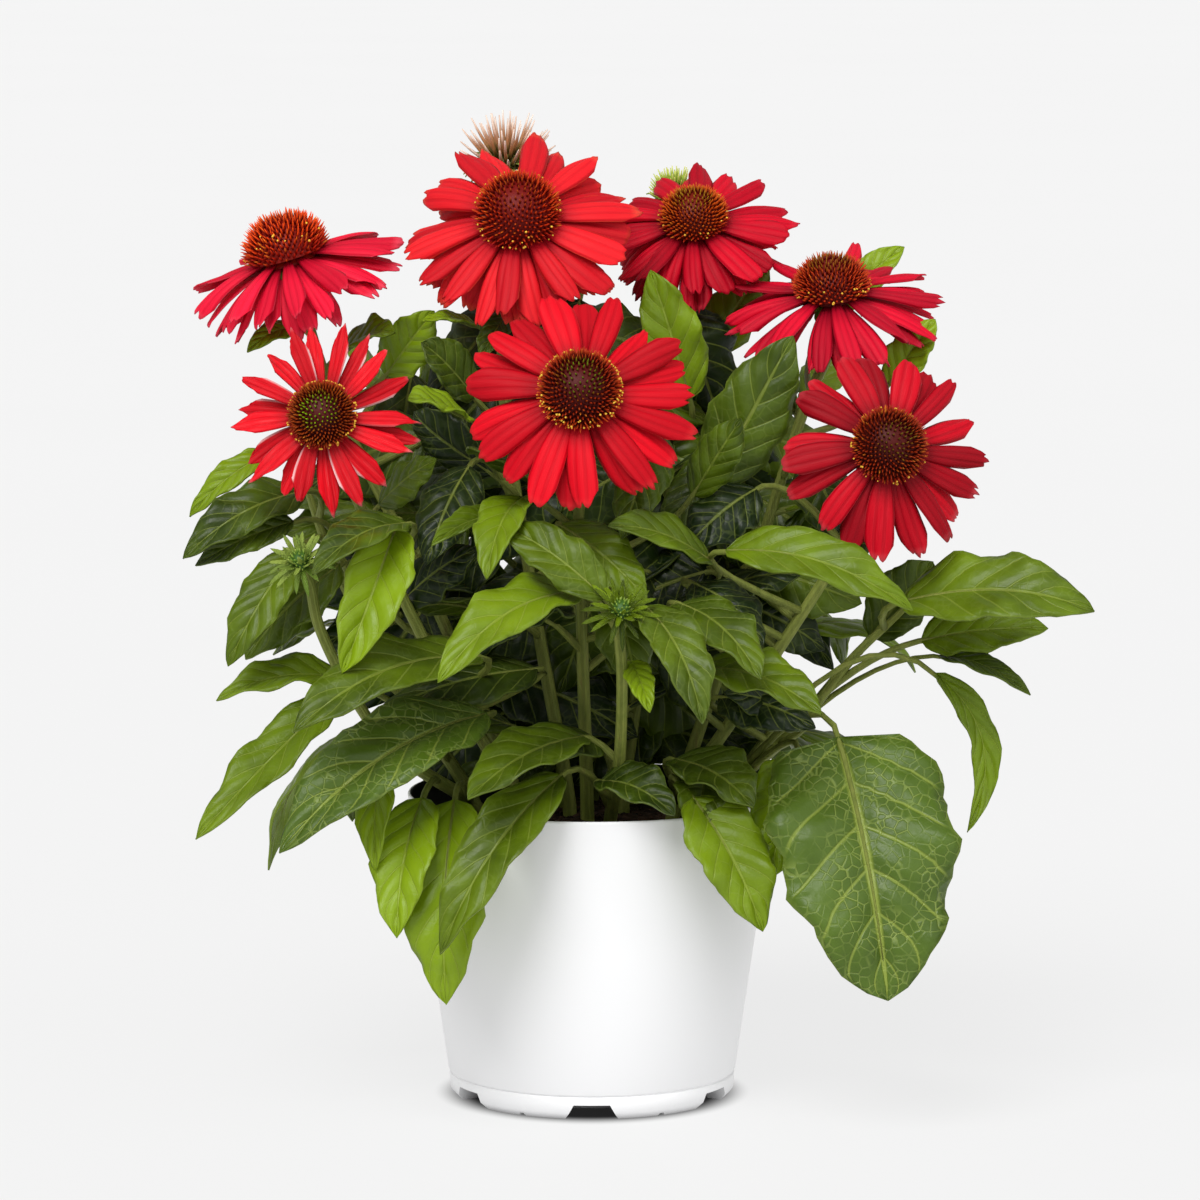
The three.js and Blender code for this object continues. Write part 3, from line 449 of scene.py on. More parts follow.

# %% [markdown]
# Every leaf that the photograph shows well is placed one by one. The first list is what is seen in front
# and at the sides. Its order matters, because a leaf's number decides how it waves.

# %% Leaves in view
# Stem, blade base, tip, width, arch, facing (turn, rise), fold and sideways bow
LEAVES = [
    ("shoot_left", (-127, -20, 274), (-179, -45, 247), 27, 8, (-10, 45), 10, 0),
    ("shoot_left", (-143, -5, 289), (-178, -15, 262), 16, 5, (-15, 40), 14, 0),
    ("shoot_left", (-131, -32, 262), (-174, -38, 243), 18, 4, (-10, 35), 10, 0),
    ("shoot_left", (-129, -38, 250), (-159, -56, 201), 24, 5, (-20, 25), 8, 0),
    ("shoot_left", (-112, -10, 240), (-153, -28, 200), 34, 5, (-30, 30), 10, 0),
    ("shoot_left", (-109, -24, 190), (-165, -44, 184), 24, 8, (10, 62), 18, 0),
    ("shoot_left", (-112, -20, 184), (-172, -60, 126), 27, 2, (-20, 40), 14, 0),
    ("stem_left_front", (-85, -72, 264), (-107, -105, 205), 32, 8, (10, 20), 28, 0),
    ("stem_left_front", (-80, -66, 265), (-119, -108, 248), 24, 8, (-5, 55), 14, 0),
    ("stem_left_high", (-129, 0, 344), (-152, -15, 335), 14, 5, (0, 55), 12, 0),
    ("stem_left_high", (-112, 16, 332), (-87, -8, 343), 22, 6, (10, 45), 16, 0),
    ("stem_left_high", (-92, 16, 322), (-70, 2, 352), 24, 3, (10, 25), 10, 0),
    ("stem_top", (-52, -4, 314), (-75, -22, 340), 24, 5, (-10, 40), 14, 0),
    ("stem_top", (-53, -24, 306), (-80, -50, 317), 24, 5, (-20, 50), 12, 0),
    ("stem_top", (-52, 10, 345), (-75, -6, 348), 9, 3, (-10, 55), 20, 0),
    ("stem_top", (-36, 4, 352), (-49, -15, 332), 15, 3, (-10, 30), 14, 0),
    ("stem_middle", (-30, -62, 276), (-45, -108, 246), 24, 8, (-20, 55), 18, 0),
    ("stem_middle", (-36, -50, 266), (-69, -88, 258), 16, 6, (0, 55), 20, 0),
    ("stem_bud_middle", (6, -112, 238), (-40, -92, 268), 25, 7, (-5, 40), 12, 0),
    ("stem_bud_middle", (-6, -88, 238), (-65, -140, 206), 31, 14, (-10, 50), 14, 0),
    ("stem_left_front", (-49, -62, 206), (-127, -122, 182), 38, 14, (-10, 55), 12, 0),
    ("stem_bud_left", (-46, -54, 180), (-134, -112, 128), 46, 16, (-15, 45), 12, 0),
    ("stem_bud_middle", (-4, -62, 171), (-53, -122, 153), 32, 8, (-10, 50), 12, 0),
    ("stem_bud_middle", (-13, -74, 156), (-65, -118, 85), 31, 14, (-20, 30), 14, 0),
    ("stem_bud_left", (-60, -62, 143), (-63, -98, 59), 40, 14, (-10, 12), 10, 0),
    ("stem_bud_left", (-74, -56, 143), (-84, -92, 88), 30, 8, (-20, 25), 14, 0),
    ("stem_bud_left", (-86, -44, 172), (-93, -82, 116), 22, 8, (-30, 20), 16, 0),
    ("stem_right_front", (44, -74, 146), (74, -97, 91), 35, 8, (20, 20), 12, 0),
    ("stem_bud_middle", (4, -66, 152), (36, -92, 141), 26, 6, (0, 55), 20, 0),
    ("stem_right_front", (37, -58, 160), (70, -104, 146), 34, 6, (15, 50), 14, 0),
    ("stem_right_front", (50, -50, 152), (46, -84, 133), 26, 6, (0, 40), 14, 0),
    ("shoot_right", (108, -58, 170), (128, -104, 62), 84, 14, (8, 12), 6, 0),
    ("shoot_right", (90, -52, 160), (77, -88, 112), 34, 6, (0, 20), 12, 0),
    ("shoot_right", (152, -20, 193), (166, -36, 124), 16, 5, (25, 25), 16, -14),
    ("shoot_right", (154, -24, 201), (193, -48, 187), 14, 5, (10, 60), 14, 0),
    ("shoot_right", (136, -36, 227), (219, -62, 226), 42, 12, (15, 45), 10, 0),
    ("shoot_right", (146, -10, 206), (202, -14, 212), 26, 4, (10, 40), 10, 0),
    ("shoot_right", (124, -14, 208), (152, -24, 243), 28, 6, (30, 40), 14, 0),
    ("stem_right_front", (58, -72, 254), (138, -97, 231), 30, 12, (5, 50), 12, 0),
    ("stem_middle", (52, -62, 248), (7, -92, 267), 25, 7, (0, 50), 12, 0),
    ("stem_bud_middle", (23, -104, 234), (47, -145, 189), 27, 10, (20, 35), 16, 0),
    ("stem_right_front", (38, -82, 232), (72, -130, 206), 29, 8, (15, 50), 12, 0),
    ("stem_right_front", (46, -80, 204), (98, -122, 190), 32, 8, (10, 55), 12, 0),
    ("stem_bud_middle", (17, -90, 208), (25, -118, 190), 13, 4, (0, 40), 14, 0),
    ("stem_right_high", (110, 60, 346), (142, 58, 377), 20, 4, (0, 45), 14, 0),
    ("stem_right_high", (132, 10, 318), (153, 6, 348), 20, 4, (10, 40), 14, 0),
    ("stem_right_back", (44, 26, 310), (26, 24, 368), 29, 4, (0, 25), 10, 0),
]
print(len(LEAVES), "leaves in view")

# %% [markdown]
# The second list fills what lies behind and between them. The rest of the plant is filled by rings of
# leaves, which go round at even steps and are spread a little by seeded draws.

# %% Leaves behind
INNER_LEAVES = [
    ("shoot_back", (-4, 126, 292), (-12, 158, 326), 24, 4, (180, 50), 12, 0),
    ("shoot_back", (-2, 122, 286), (24, 132, 318), 22, 4, (150, 50), 12, 0),
    ("shoot_back_left", (-90, 104, 298), (-112, 128, 330), 24, 4, (-140, 50), 12, 0),
    ("shoot_back_left", (-86, 98, 292), (-66, 112, 324), 22, 4, (180, 50), 12, 0),
    ("shoot_back_right", (99, 97, 303), (118, 122, 332), 24, 4, (140, 50), 12, 0),
    ("shoot_back_right", (94, 92, 297), (76, 108, 328), 22, 4, (180, 50), 12, 0),
    ("stem_left_front", (-24, -28, 196), (-94, -56, 180), 30, 6, (-10, 50), 12, 0),
    ("stem_right_front", (102, -24, 246), (139, -16, 269), 26, 6, (10, 45), 12, 0),
    ("stem_right_back", (58, -2, 288), (30, -26, 250), 24, 6, (0, 35), 12, 0),
    ("stem_middle", (44, -40, 274), (65, -58, 310), 21, 5, (10, 30), 16, 0),
    ("stem_right_high", (52, -14, 274), (88, -4, 340), 36, 5, (10, 25), 12, 0),
    ("shoot_right", (56, -34, 184), (98, -60, 174), 28, 6, (0, 45), 12, 0),
    ("stem_right_front", (44, -58, 238), (74, -82, 214), 30, 6, (20, 45), 12, 0),
    ("stem_middle", (-14, -46, 262), (24, -66, 232), 28, 6, (0, 35), 12, 0),
    ("stem_right_back", (30, -30, 300), (13, -65, 258), 25, 6, (0, 35), 12, 0),
    ("stem_top", (-54, -28, 286), (-72, -60, 246), 28, 6, (-10, 35), 12, 0),
    ("stem_left_front", (-94, -18, 268), (-68, -38, 290), 20, 4, (0, 35), 12, 0),
    ("stem_left_high", (-84, -30, 226), (-50, -50, 252), 24, 6, (0, 35), 12, 0),
    ("shoot_right", (92, -30, 176), (58, -48, 188), 22, 4, (0, 40), 12, 0),
    ("stem_middle", (-26, -22, 236), (-58, -34, 200), 30, 5, (-10, 35), 12, 0),
    ("stem_middle", (8, -34, 232), (20, -54, 190), 28, 5, (10, 35), 12, 0),
    ("stem_right_front", (72, -30, 276), (40, -40, 250), 30, 5, (0, 40), 12, 0),
    ("stem_right_back", (50, 30, 330), (80, 34, 372), 26, 4, (10, 30), 12, 0),
    ("stem_right_high", (96, -6, 286), (112, -20, 248), 28, 5, (10, 35), 12, 0),
]

# Turns from, to and by, base and tip (radius, height), width, arch and rise
RINGS = [
    (95, 265, 21, (84, 168), (150, 104), 44, 18, 40),
    (104, 256, 21.5, (90, 208), (156, 186), 38, 14, 55),
    (96, 264, 28, (92, 262), (150, 256), 34, 10, 60),
    (-150, 150, 75, (36, 165), (84, 172), 36, 10, 55),
    (-160, 160, 45, (40, 222), (96, 232), 34, 10, 50),
    (-168, 168, 48, (44, 282), (88, 304), 32, 8, 40),
]
print(len(INNER_LEAVES), "leaves behind,", len(RINGS), "rings")

# %% [markdown]
# A blade and a petiole are each a curve between two points that is bent by a third, its control point.
# Blender has curve objects for that, but a short formula gives a point and its direction at any share of
# the way, which is what bending a sheet needs.

# %% Directions and bent curves
def facing(turn, rise):
    """Direction turned from the front (-Y) towards +X and raised from the horizontal, in degrees."""
    t = math.radians(turn)
    r = math.radians(rise)
    return np.array([math.sin(t) * math.cos(r), -math.cos(t) * math.cos(r), math.sin(r)])


def unit(rows):
    """The same directions with a length of 1."""
    rows = np.asarray(rows, float)
    return rows / np.maximum(np.linalg.norm(rows, axis=-1, keepdims=True), 1e-9)


def bend(a, b, c, t):
    """Points at shares t of the curve from a to c that b bends."""
    t = np.asarray(t)[..., None]
    return (1 - t) ** 2 * a + 2 * t * (1 - t) * b + t ** 2 * c


def bend_way(a, b, c, t):
    """Directions of that curve."""
    t = np.asarray(t)[..., None]
    return unit(2 * (1 - t) * (b - a) + 2 * t * (c - b))


print("a bloom's direction", facing(-6, 90 - 49).round(2))

# %% [markdown]
# A stem is a smooth curve through a few points. It is sampled finely first, and then again at even steps,
# so that the rings of the tube that follows it lie evenly too.

# %% Stem routes
SAMPLES = 200
SOIL_HEIGHT = 121
STEM_FOOT = 104
STEM_STEP = 26
DISC_THICKNESS = 3.4
CUP_HEIGHT = 6
UNDER_DISC = DISC_THICKNESS + 0.3 + CUP_HEIGHT


def smooth_route(points, spacing):
    """Equally spaced points, about a spacing apart, on a smooth curve through the given ones."""
    p = np.array(points, float)
    p = np.vstack([2 * p[0] - p[1], p, 2 * p[-1] - p[-2]])
    spans = len(p) - 3

    def at(t):
        i = min(int(t * spans), spans - 1)
        w = t * spans - i
        a, b, c, d = p[i:i + 4]
        before, middle, after = (math.sqrt(np.linalg.norm(v)) for v in (b - a, c - b, d - c))
        first = ((b - a) / before - (c - a) / (before + middle)) * middle + (c - b)
        last = ((d - c) / after - (d - b) / (middle + after)) * middle + (c - b)
        return b + w * first + w ** 2 * (3 * (c - b) - 2 * first - last) \
            + w ** 3 * (first + last - 2 * (c - b))

    fine = np.array([at(k / SAMPLES) for k in range(SAMPLES + 1)])
    lengths = np.concatenate([[0], np.cumsum(np.linalg.norm(np.diff(fine, axis=0), axis=1))])
    steps = round(lengths[-1] / spacing)
    shares = np.interp(np.linspace(0, lengths[-1], steps + 1), lengths, np.linspace(0, 1, SAMPLES + 1))
    return np.array([at(t) for t in shares])


def stem_route(name, spacing):
    """A stem's line, its end, the direction there and the bloom that it carries, if any."""
    stem = STEMS[name]
    bloom = next((one for one in BLOOMS if "stem_" + one["place"] == name), None)
    leaning = bloom or stem
    axis = facing(leaning["turn"], 90 - leaning["tilt"])
    end = np.array(bloom["base"]) - UNDER_DISC * axis if bloom else np.array(stem["top"])
    x, y = stem["foot"]
    points = [(x, y, STEM_FOOT), (x, y, SOIL_HEIGHT - 6), (x, y, SOIL_HEIGHT + 6), *stem["way"],
              end - 12 * axis, end + axis]
    return dict(line=smooth_route(points, spacing), end=end, axis=axis, bloom=bloom)


routes = {name: stem_route(name, STEM_STEP) for name in STEMS}
print("stem lengths", {name: STEM_STEP * (len(route["line"]) - 1) for name, route in routes.items()})

# %% [markdown]
# A petiole leaves its stem a little below the blade that it carries. A leaf of the rings has no stem in
# the plan, so it goes to the stem whose petiole would be the shortest. The draws that spread the rings
# come from a small generator of numbers that starts from a seed, so the plant is the same in every run.

# %% Petioles and rings of leaves
RING_SEED = 29
LEAF_FOLD = 12
PETIOLE_FALL = 0.6  # how far below the blade it leaves the stem, for each millimetre that it reaches out


def draws(seed):
    """Repeatable draws between -1 and 1."""
    state = seed
    while True:
        state = state * 16807 % 2147483647
        yield state / 2147483647 * 2 - 1


def petiole_root(line, base):
    """Point of a stem that a petiole leaves from: below the blade's base by a part of its distance."""
    best = None
    for i in range(1, len(line) - 1):
        for share in (0, 0.2, 0.4, 0.6, 0.8):
            spot = line[i] + share * (line[i + 1] - line[i])
            away = math.hypot(spot[0] - base[0], spot[1] - base[1])
            miss = abs(base[2] - spot[2] - PETIOLE_FALL * away) + 0.3 * away
            if spot[2] > SOIL_HEIGHT + 10 and (best is None or miss < best[1]):
                best = (spot, miss)
    return best[0]


def nearest_stem(spot):
    """The stem that would reach a blade's base with the shortest petiole."""
    return min(routes, key=lambda name: np.linalg.norm(petiole_root(routes[name]["line"], spot) - spot))


def ring_leaves():
    """Leaves in rings that fill the plant out all round."""
    rows = []
    draw = draws(RING_SEED)
    for start, stop, step, base, tip, width, arch, rise in RINGS:
        turn = start
        while turn <= stop:
            a = turn + 6 * next(draw)
            b = turn + 12 * next(draw)
            r0 = base[0] + 6 * next(draw)
            z0 = base[1] + 8 * next(draw)
            r1 = tip[0] + 12 * next(draw)
            z1 = tip[1] + 12 * next(draw)
            low = facing(a, 0) * r0 + np.array([0, 0, z0])
            high = facing(b, 0) * r1 + np.array([0, 0, z1])
            size = width * (1 + 0.15 * next(draw))
            face = (turn + 15 * next(draw), rise)
            rows.append((nearest_stem(low), low, high, size, arch, face, LEAF_FOLD, 0))
            turn += step
    return rows


rows = [*LEAVES, *INNER_LEAVES, *ring_leaves()]
print(len(rows), "leaves with the rings")

# %% [markdown]
# A leaf is described by its blade's curve, the way its face looks, its width and its fold along the
# midrib. The blade can be rolled and moved in depth as a whole. A leaf moves along the camera's line of
# sight, so it stays where the picture shows it.

# %% Blade form
SIGHT_SLOPE = 0.13
BROAD_WIDTH = 60
COARSE_WIDTH = 44
PLAIN_RIDGE = -9  # degrees: a blade behind is arched slightly the other way
BLADE_WAVE = 0.05


def bent_leaf(row, roll, depth, index):
    """A leaf of the plan, rolled by some degrees and moved back by a depth in millimetres."""
    owner, base, tip, width, arch, (turn, rise), fold, bow = row
    move = np.array([0, depth, -SIGHT_SLOPE * depth])
    base = np.asarray(base, float) + 0.6 * move
    tip = np.asarray(tip, float) + move
    face = facing(turn + roll, rise + roll)
    across = unit(np.cross(tip - base, face))
    control = (base + tip) / 2 + 2 * arch * face + 2 * bow * across
    plain = index >= len(LEAVES)
    return dict(owner=owner, base=base, tip=tip, face=face, control=control, width=width, plain=plain,
                fold=math.radians(PLAIN_RIDGE if plain else fold), index=index,
                root=petiole_root(routes[owner]["line"], base))


def outline(leaf, t):
    """Share of a leaf's full width at t along the blade."""
    if leaf["width"] > BROAD_WIDTH:
        return t ** 0.4 * (1 - t) ** 0.6 / 0.51
    return t ** 0.55 * (1 - t) ** 0.85 / 0.391


def blade_frame(leaf, t):
    """Centre, normal and side of the blade at t."""
    curve = leaf["base"], leaf["control"], leaf["tip"]
    along = bend_way(*curve, t)
    normal = unit(leaf["face"] - along * (along @ leaf["face"])[..., None])
    return bend(*curve, t), normal, np.cross(along, normal)


def is_coarse(leaf):
    """The widest leaves grew at the plant's foot, and their skin is coarser."""
    return leaf["width"] > COARSE_WIDTH and not leaf["plain"]


def edge_wave(leaf, t, s):
    """How far the margin waves up at t, on the side that s names."""
    swing = 5 * math.pi * t + 2.4 * leaf["index"]
    return BLADE_WAVE * leaf["width"] * np.cos(swing + 2 * (s > 0))


print(sum(row[3] > COARSE_WIDTH for row in LEAVES), "coarse leaves")

# %% [markdown]
# Leaves crowd each other, so the solids were bent clear one by one: each took the first of a row of
# small bends that left it free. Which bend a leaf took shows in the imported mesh. The leaf is tried in
# every bend, and the one whose corners lie on the mesh is the one that was built.

# %% The bends that were built
BENDS = [(roll, depth) for roll in (0, 16, -16) for depth in (0, -7, 7, -14, 14, -22, 22, -30, 30)]
FAR_OFF = 0.01  # metres: a corner that lies further off counts no more than this
MOST_MISS = 2.5  # millimetres


def solid_corners(leaf):
    """Where the corners of a leaf's faceted solid would lie."""
    steps = 8 if leaf["width"] > BROAD_WIDTH else 4 if leaf["plain"] else 5
    t = np.repeat(np.arange(1, steps) / steps, 2)
    s = np.tile([-1.0, 1.0], steps - 1)
    centre, normal, side = blade_frame(leaf, t)
    half = (leaf["width"] / 2 * outline(leaf, t))[:, None]
    lift = half * math.sin(leaf["fold"]) + edge_wave(leaf, t, s)[:, None]
    corners = centre + side * s[:, None] * half * math.cos(leaf["fold"]) + normal * lift
    return np.vstack([corners, [leaf["tip"]] * 3])


def tree_of(node):
    """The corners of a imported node, sorted so that the nearest is found quickly."""
    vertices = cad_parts[node].data.vertices
    tree = KDTree(len(vertices))
    for i, vertex in enumerate(vertices):
        tree.insert(vertex.co, i)
    tree.balance()
    return tree


trees = {name: tree_of(name) for name in routes}


def miss_of(leaf):
    """How far a leaf's corners lie from its stem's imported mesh, on average, in millimetres."""
    tree = trees[leaf["owner"]]
    gaps = [min(tree.find(Vector(corner * MM))[2], FAR_OFF) for corner in solid_corners(leaf)]
    return np.mean(gaps) / MM


leaves = []
for index, row in enumerate(rows):
    tries = [bent_leaf(row, roll, depth, index) for roll, depth in BENDS]
    misses = [miss_of(leaf) for leaf in tries]
    best = int(np.argmin(misses))
    if misses[best] < MOST_MISS:
        leaves.append(tries[best])
    else:
        print("left out: leaf", index, "of", row[0], round(misses[best], 1))
print(len(leaves), "leaves found")

# %% [markdown]
# Behind the leaves that were built one by one, the real plant is full of small dark ones, and hardly any
# light comes through. More leaves could be placed by hand, but these are only seen in glimpses. So a rule
# with seeded draws spreads a loose net of them across the plant's middle, and three listed ones close a
# gap.

# %% Leaves in the dark
NET_SEED = 83
NET_DEPTH = 34  # how far the net lies behind the pot's middle
GAP_LEAVES = [
    ("stem_right_front", (72, 0, 238), (120, -6, 222), 34, 6, (0, 20), 12, 0),
    ("stem_right_front", (66, -4, 222), (104, 4, 200), 30, 6, (10, 25), 12, 0),
    ("stem_right_high", (84, 12, 250), (116, 20, 244), 28, 5, (0, 20), 12, 0),
]
draw = draws(NET_SEED)
for x in range(-104, 101, 24):
    for z in range(150, 346, 26):
        spot = np.array([x + 9 * next(draw), NET_DEPTH + 16 * next(draw), z + 9 * next(draw)])
        reach = 30 + 5 * next(draw)
        slope = math.radians(-45 + 40 * next(draw))
        out = math.copysign(1, x + 30 * next(draw))
        half = reach * np.array([out * math.cos(slope), 0.35 * next(draw), math.sin(slope)])
        width = 38 + 6 * next(draw)
        turn = 30 * next(draw) + 12 * out
        if abs(spot[0]) < 66 or 176 < z < 300:
            face = (turn, 34 + 14 * next(draw))
            row = (nearest_stem(spot - half), spot - half, spot + half, width, 6, face, LEAF_FOLD, 0)
            leaves.append(bent_leaf(row, 0, 0, len(LEAVES) + len(leaves)))
for row in GAP_LEAVES:
    leaves.append(bent_leaf(row, 0, 0, len(LEAVES) + len(leaves)))
print(len(leaves), "leaves with those in the dark")

# %% [markdown]
# A coneflower's leaf is coarse: a sunk midrib, side veins that sweep forward, the skin puffed up between
# them, and a few blunt teeth on the margin. Bump alone leaves the edge smooth and the light flat, so the
# puffs, the sunk midrib and the teeth are in the mesh, and only the fine net of veins is left to bump.

# %% Leaf shape
SIDE_VEINS = 6
VEIN_SWEEP = 0.26
TEETH = 7
TOOTH_DEPTH = 0.07
PUFF = 0.023
COARSE_PUFF = 0.036
LEAF_SKIN = 0.8


def leaf_margin(leaf, t, s):
    """Half width of a blade at t: its outline, a little wavy, with blunt teeth."""
    size = leaf["width"]
    shape = t ** 0.3 * (1 - t) ** 0.62 / 0.56 if size > BROAD_WIDTH else outline(leaf, t)
    tooth = (TEETH * t + 0.13 * leaf["index"]) % 1
    wavy = 0.05 * np.sin(23 * t + 3 * leaf["index"] + 2 * np.sign(s)) * np.abs(s) ** 2
    return size / 2 * shape * (1 - TOOTH_DEPTH * np.abs(s) ** 3 * tooth + wavy)


def fade(t, first, last):
    """1 along the blade, and less near its base and its tip."""
    return np.minimum(1, first * t) * np.minimum(1, last * (1 - t))


def leaf_lift(leaf, t, s, half):
    """How far the skin stands off the blade's flat: fold, waves, puffs, sunk midrib, twist and curl."""
    size = leaf["width"]
    edge = np.abs(s)
    habit = math.sin(5.1 * leaf["index"])
    veins = SIDE_VEINS * (t - VEIN_SWEEP * edge)
    puff = np.abs(np.sin(math.pi * veins)) ** 0.7 * np.sin(math.pi * edge ** 0.8)
    ripple = 0.03 * size * edge ** 2 * np.sin(17 * t + 5 * s + leaf["index"])
    return half * math.sin(leaf["fold"]) * edge ** 1.3 \
        + edge_wave(leaf, t, s) * edge ** 1.6 * fade(t, 5, 5) \
        + ripple * fade(t, 4, 4) \
        + (COARSE_PUFF if is_coarse(leaf) else PUFF) * size * puff * fade(t, 6, 3) \
        - 0.02 * size * np.exp(-(s / 0.12) ** 2) * np.minimum(1, 6 * (1 - t)) \
        + 0.1 * size * habit * s * t ** 2 * (1 - t) \
        - 0.06 * size * (1 + habit) * edge ** 2 * t * (1 - t)


def leaf_blade(leaf):
    flat = LEAF_SHEET[1]
    t = flat[:, 0]
    s = np.sign(flat[:, 1]) * np.abs(flat[:, 1]) ** 1.25
    centre, normal, side = blade_frame(leaf, t)
    half = leaf_margin(leaf, t, s)
    out = s * half * math.cos(leaf["fold"])
    lift = leaf_lift(leaf, t, s, half)
    places = centre + side * out[:, None] + normal * lift[:, None]
    return bent_copy(LEAF_SHEET, places, t, s, leaf["tint"])


print("puffs stand up to", round(COARSE_PUFF * max(leaf["width"] for leaf in leaves), 1), "mm off a leaf")

# %% [markdown]
# Under the blade its midrib stands out as a thin rod, and the petiole is the same rod carried on to the
# stem. So both are one tube: a copy of the closed tube that follows a path and narrows towards the tip.

# %% Petiole and midrib
MIDRIB_REACH = 0.85
RIB_RADII = [1.9, 1.35, 0.3]  # on the stem, under the blade's base, and near its tip


def tube_copy(start, path, normal, radius, tint):
    """A tube bent along a path given as a function of 0 to 1, with a radius that may vary."""
    ring = start[1]
    t = ring[:, 2]
    centre = path(t)
    ahead = unit(path(np.minimum(t + 0.01, 1)) - path(np.maximum(t - 0.01, 0)))
    up = unit(normal - ahead * (ahead @ normal)[:, None])
    side = np.cross(ahead, up)
    size = radius(t)[:, None]
    places = centre + side * ring[:, :1] * size + up * ring[:, 1:2] * size
    around = np.arctan2(ring[:, 1], ring[:, 0]) / math.pi
    return bent_copy(start, places, t, around, tint)


def leaf_rib(leaf):
    """Petiole and, under the blade, the midrib that carries it on."""
    start = bend_way(leaf["base"], leaf["control"], leaf["tip"], 0)
    reach = np.linalg.norm(leaf["base"] - leaf["root"])
    elbow = leaf["base"] - 0.45 * reach * start
    blade = np.linalg.norm(leaf["tip"] - leaf["base"])
    turn_over = reach / (reach + MIDRIB_REACH * blade)

    def path(t):
        before = bend(leaf["root"], elbow, leaf["base"], np.clip(t / turn_over, 0, 1))
        share = np.clip((t - turn_over) / (1 - turn_over), 0, 1) * MIDRIB_REACH
        after, normal, _ = blade_frame(leaf, share)
        return np.where((t < turn_over)[:, None], before, after - 0.9 * normal)

    def radius(t):
        return np.interp(t, [0, turn_over, 1], RIB_RADII) * min(1.0, 0.6 + leaf["width"] / 70)

    return tube_copy(RIB_TUBE, path, leaf["face"], radius, leaf["tint"])


print("longest petiole", round(max(np.linalg.norm(leaf["base"] - leaf["root"]) for leaf in leaves)), "mm")

# %% [markdown]
# A stem is a round stalk, stout at the soil and thinner above. It widens under a bloom into a green cup.
# Both are bent from the same closed tube: the stalk along its route, the cup as a short flared piece.

# %% Stalk and cup
ROUTE_STEP = 4
STALK_SHARES = [0, 0.06, 0.6, 1]
STALK_RADII = [4.0, 3.2, 2.5, 2.4]
SHOOT_RADII = [4.0, 3.2, 2.5, 1.4]
CUP_FOOT = 2.7
CUP_TOP = 0.62  # of the cone's radius
MIDDLE_TINT = 0.5


def stalk_shape(name, route):
    line = route["line"]
    radii = SHOOT_RADII if name.startswith("shoot") else STALK_RADII
    shares = np.linspace(0, 1, len(line))

    def path(t):
        return np.stack([np.interp(t, shares, line[:, k]) for k in range(3)], axis=1)

    def radius(t):
        return np.interp(t, STALK_SHARES, radii)

    return tube_copy(STEM_TUBE, path, np.array([1.0, 0.2, 0]), radius, MIDDLE_TINT)


def turned(axis):
    """Turns what is made along +Z to stand along an axis."""
    rotation = Vector((0, 0, 1)).rotation_difference(Vector(axis)).to_matrix()
    return np.array(rotation)


def stood(axis, spot, places):
    """Stands what is made along +Z along an axis, with its foot on a spot."""
    return np.asarray(places) @ turned(axis).T + np.asarray(spot)


def cup(route):
    """Green cup under a bloom."""
    wide = route["bloom"]["cone"] * CUP_TOP
    ring = STEM_TUBE[1]
    t = ring[:, 2]
    radius = CUP_FOOT + (wide - CUP_FOOT) * t ** 1.6
    places = np.stack([ring[:, 0] * radius, ring[:, 1] * radius, (CUP_HEIGHT + 0.6) * t], axis=1)
    return bent_copy(STEM_TUBE, stood(route["axis"], route["end"], places), t, t, MIDDLE_TINT)


print("cups", [round(2 * CUP_TOP * bloom["cone"], 1) for bloom in BLOOMS], "mm wide")

# %% [markdown]
# The cup is ringed with two rows of small pointed bracts that curl back, which shows where a bloom is
# seen from the side. A bract is a strip whose slope changes evenly along it, so its path is the running
# sum of short steps, each turned a little from the last.

# %% Bracts
BRACT_SEED = 41
BRACT_SKIN = 0.5


def bract(axis, spot, around, tilt, root, length, width, curl, tint):
    """A small pointed bract that leaves a stalk outwards and curls; angles are in degrees."""
    flat = BRACT_SHEET[1]
    t = flat[:, 0]
    s = flat[:, 1]
    swing = np.radians(tilt + curl * t)
    steps = np.linspace(0, 1, 7)
    angles = np.radians(tilt + curl * steps)
    slopes = (angles[1:] + angles[:-1]) / 2
    run = np.concatenate([[0], np.cumsum(np.cos(slopes))]) * length / len(slopes)
    rise = np.concatenate([[0], np.cumsum(np.sin(slopes))]) * length / len(slopes)
    half = width / 2 * np.sqrt(np.maximum(1 - t, 0)) * (0.75 + 0.6 * t)
    out = root + np.interp(t, steps, run) - 0.25 * half * np.abs(s) * np.sin(swing)
    up = np.interp(t, steps, rise) + 0.25 * half * np.abs(s) * np.cos(swing)
    a = math.radians(around)
    places = np.stack([out * math.cos(a) - s * half * math.sin(a),
                       out * math.sin(a) + s * half * math.cos(a), up], axis=1)
    return bent_copy(BRACT_SHEET, stood(axis, spot, places), t, s, tint)


def calyx_bracts(route):
    """Two rows of bracts round the cup."""
    draw = draws(BRACT_SEED)
    made = []
    for row, count in enumerate((18, 14)):
        for i in range(count):
            around = 360 * (i + 0.4 * next(draw)) / count + 9 * row
            spot = route["end"] + route["axis"] * (5.2 - 2.2 * row)
            root = route["bloom"]["cone"] * (0.5 - 0.12 * row)
            made.append(bract(route["axis"], spot, around, -5 + 8 * next(draw), root,
                              8.5 + next(draw), 3, -60 + 20 * next(draw), 0.5 + 0.4 * next(draw)))
    return made


print("a bract's points", len(BRACT_SHEET[1]))

# %% [markdown]
# The leaf's finish is read off its grain: along runs from base to tip and across from edge to edge, so a
# vein is a place where a sum of the two comes near a whole number. The net between the side veins is a
# cell pattern on the leaf itself. The tint blends each leaf from its shaded green to its lit one. The
# large coarse leaves at the plant's foot are duller and show their veins more.

# %% Leaf finish
LEAF_RELIEF = 0.0014


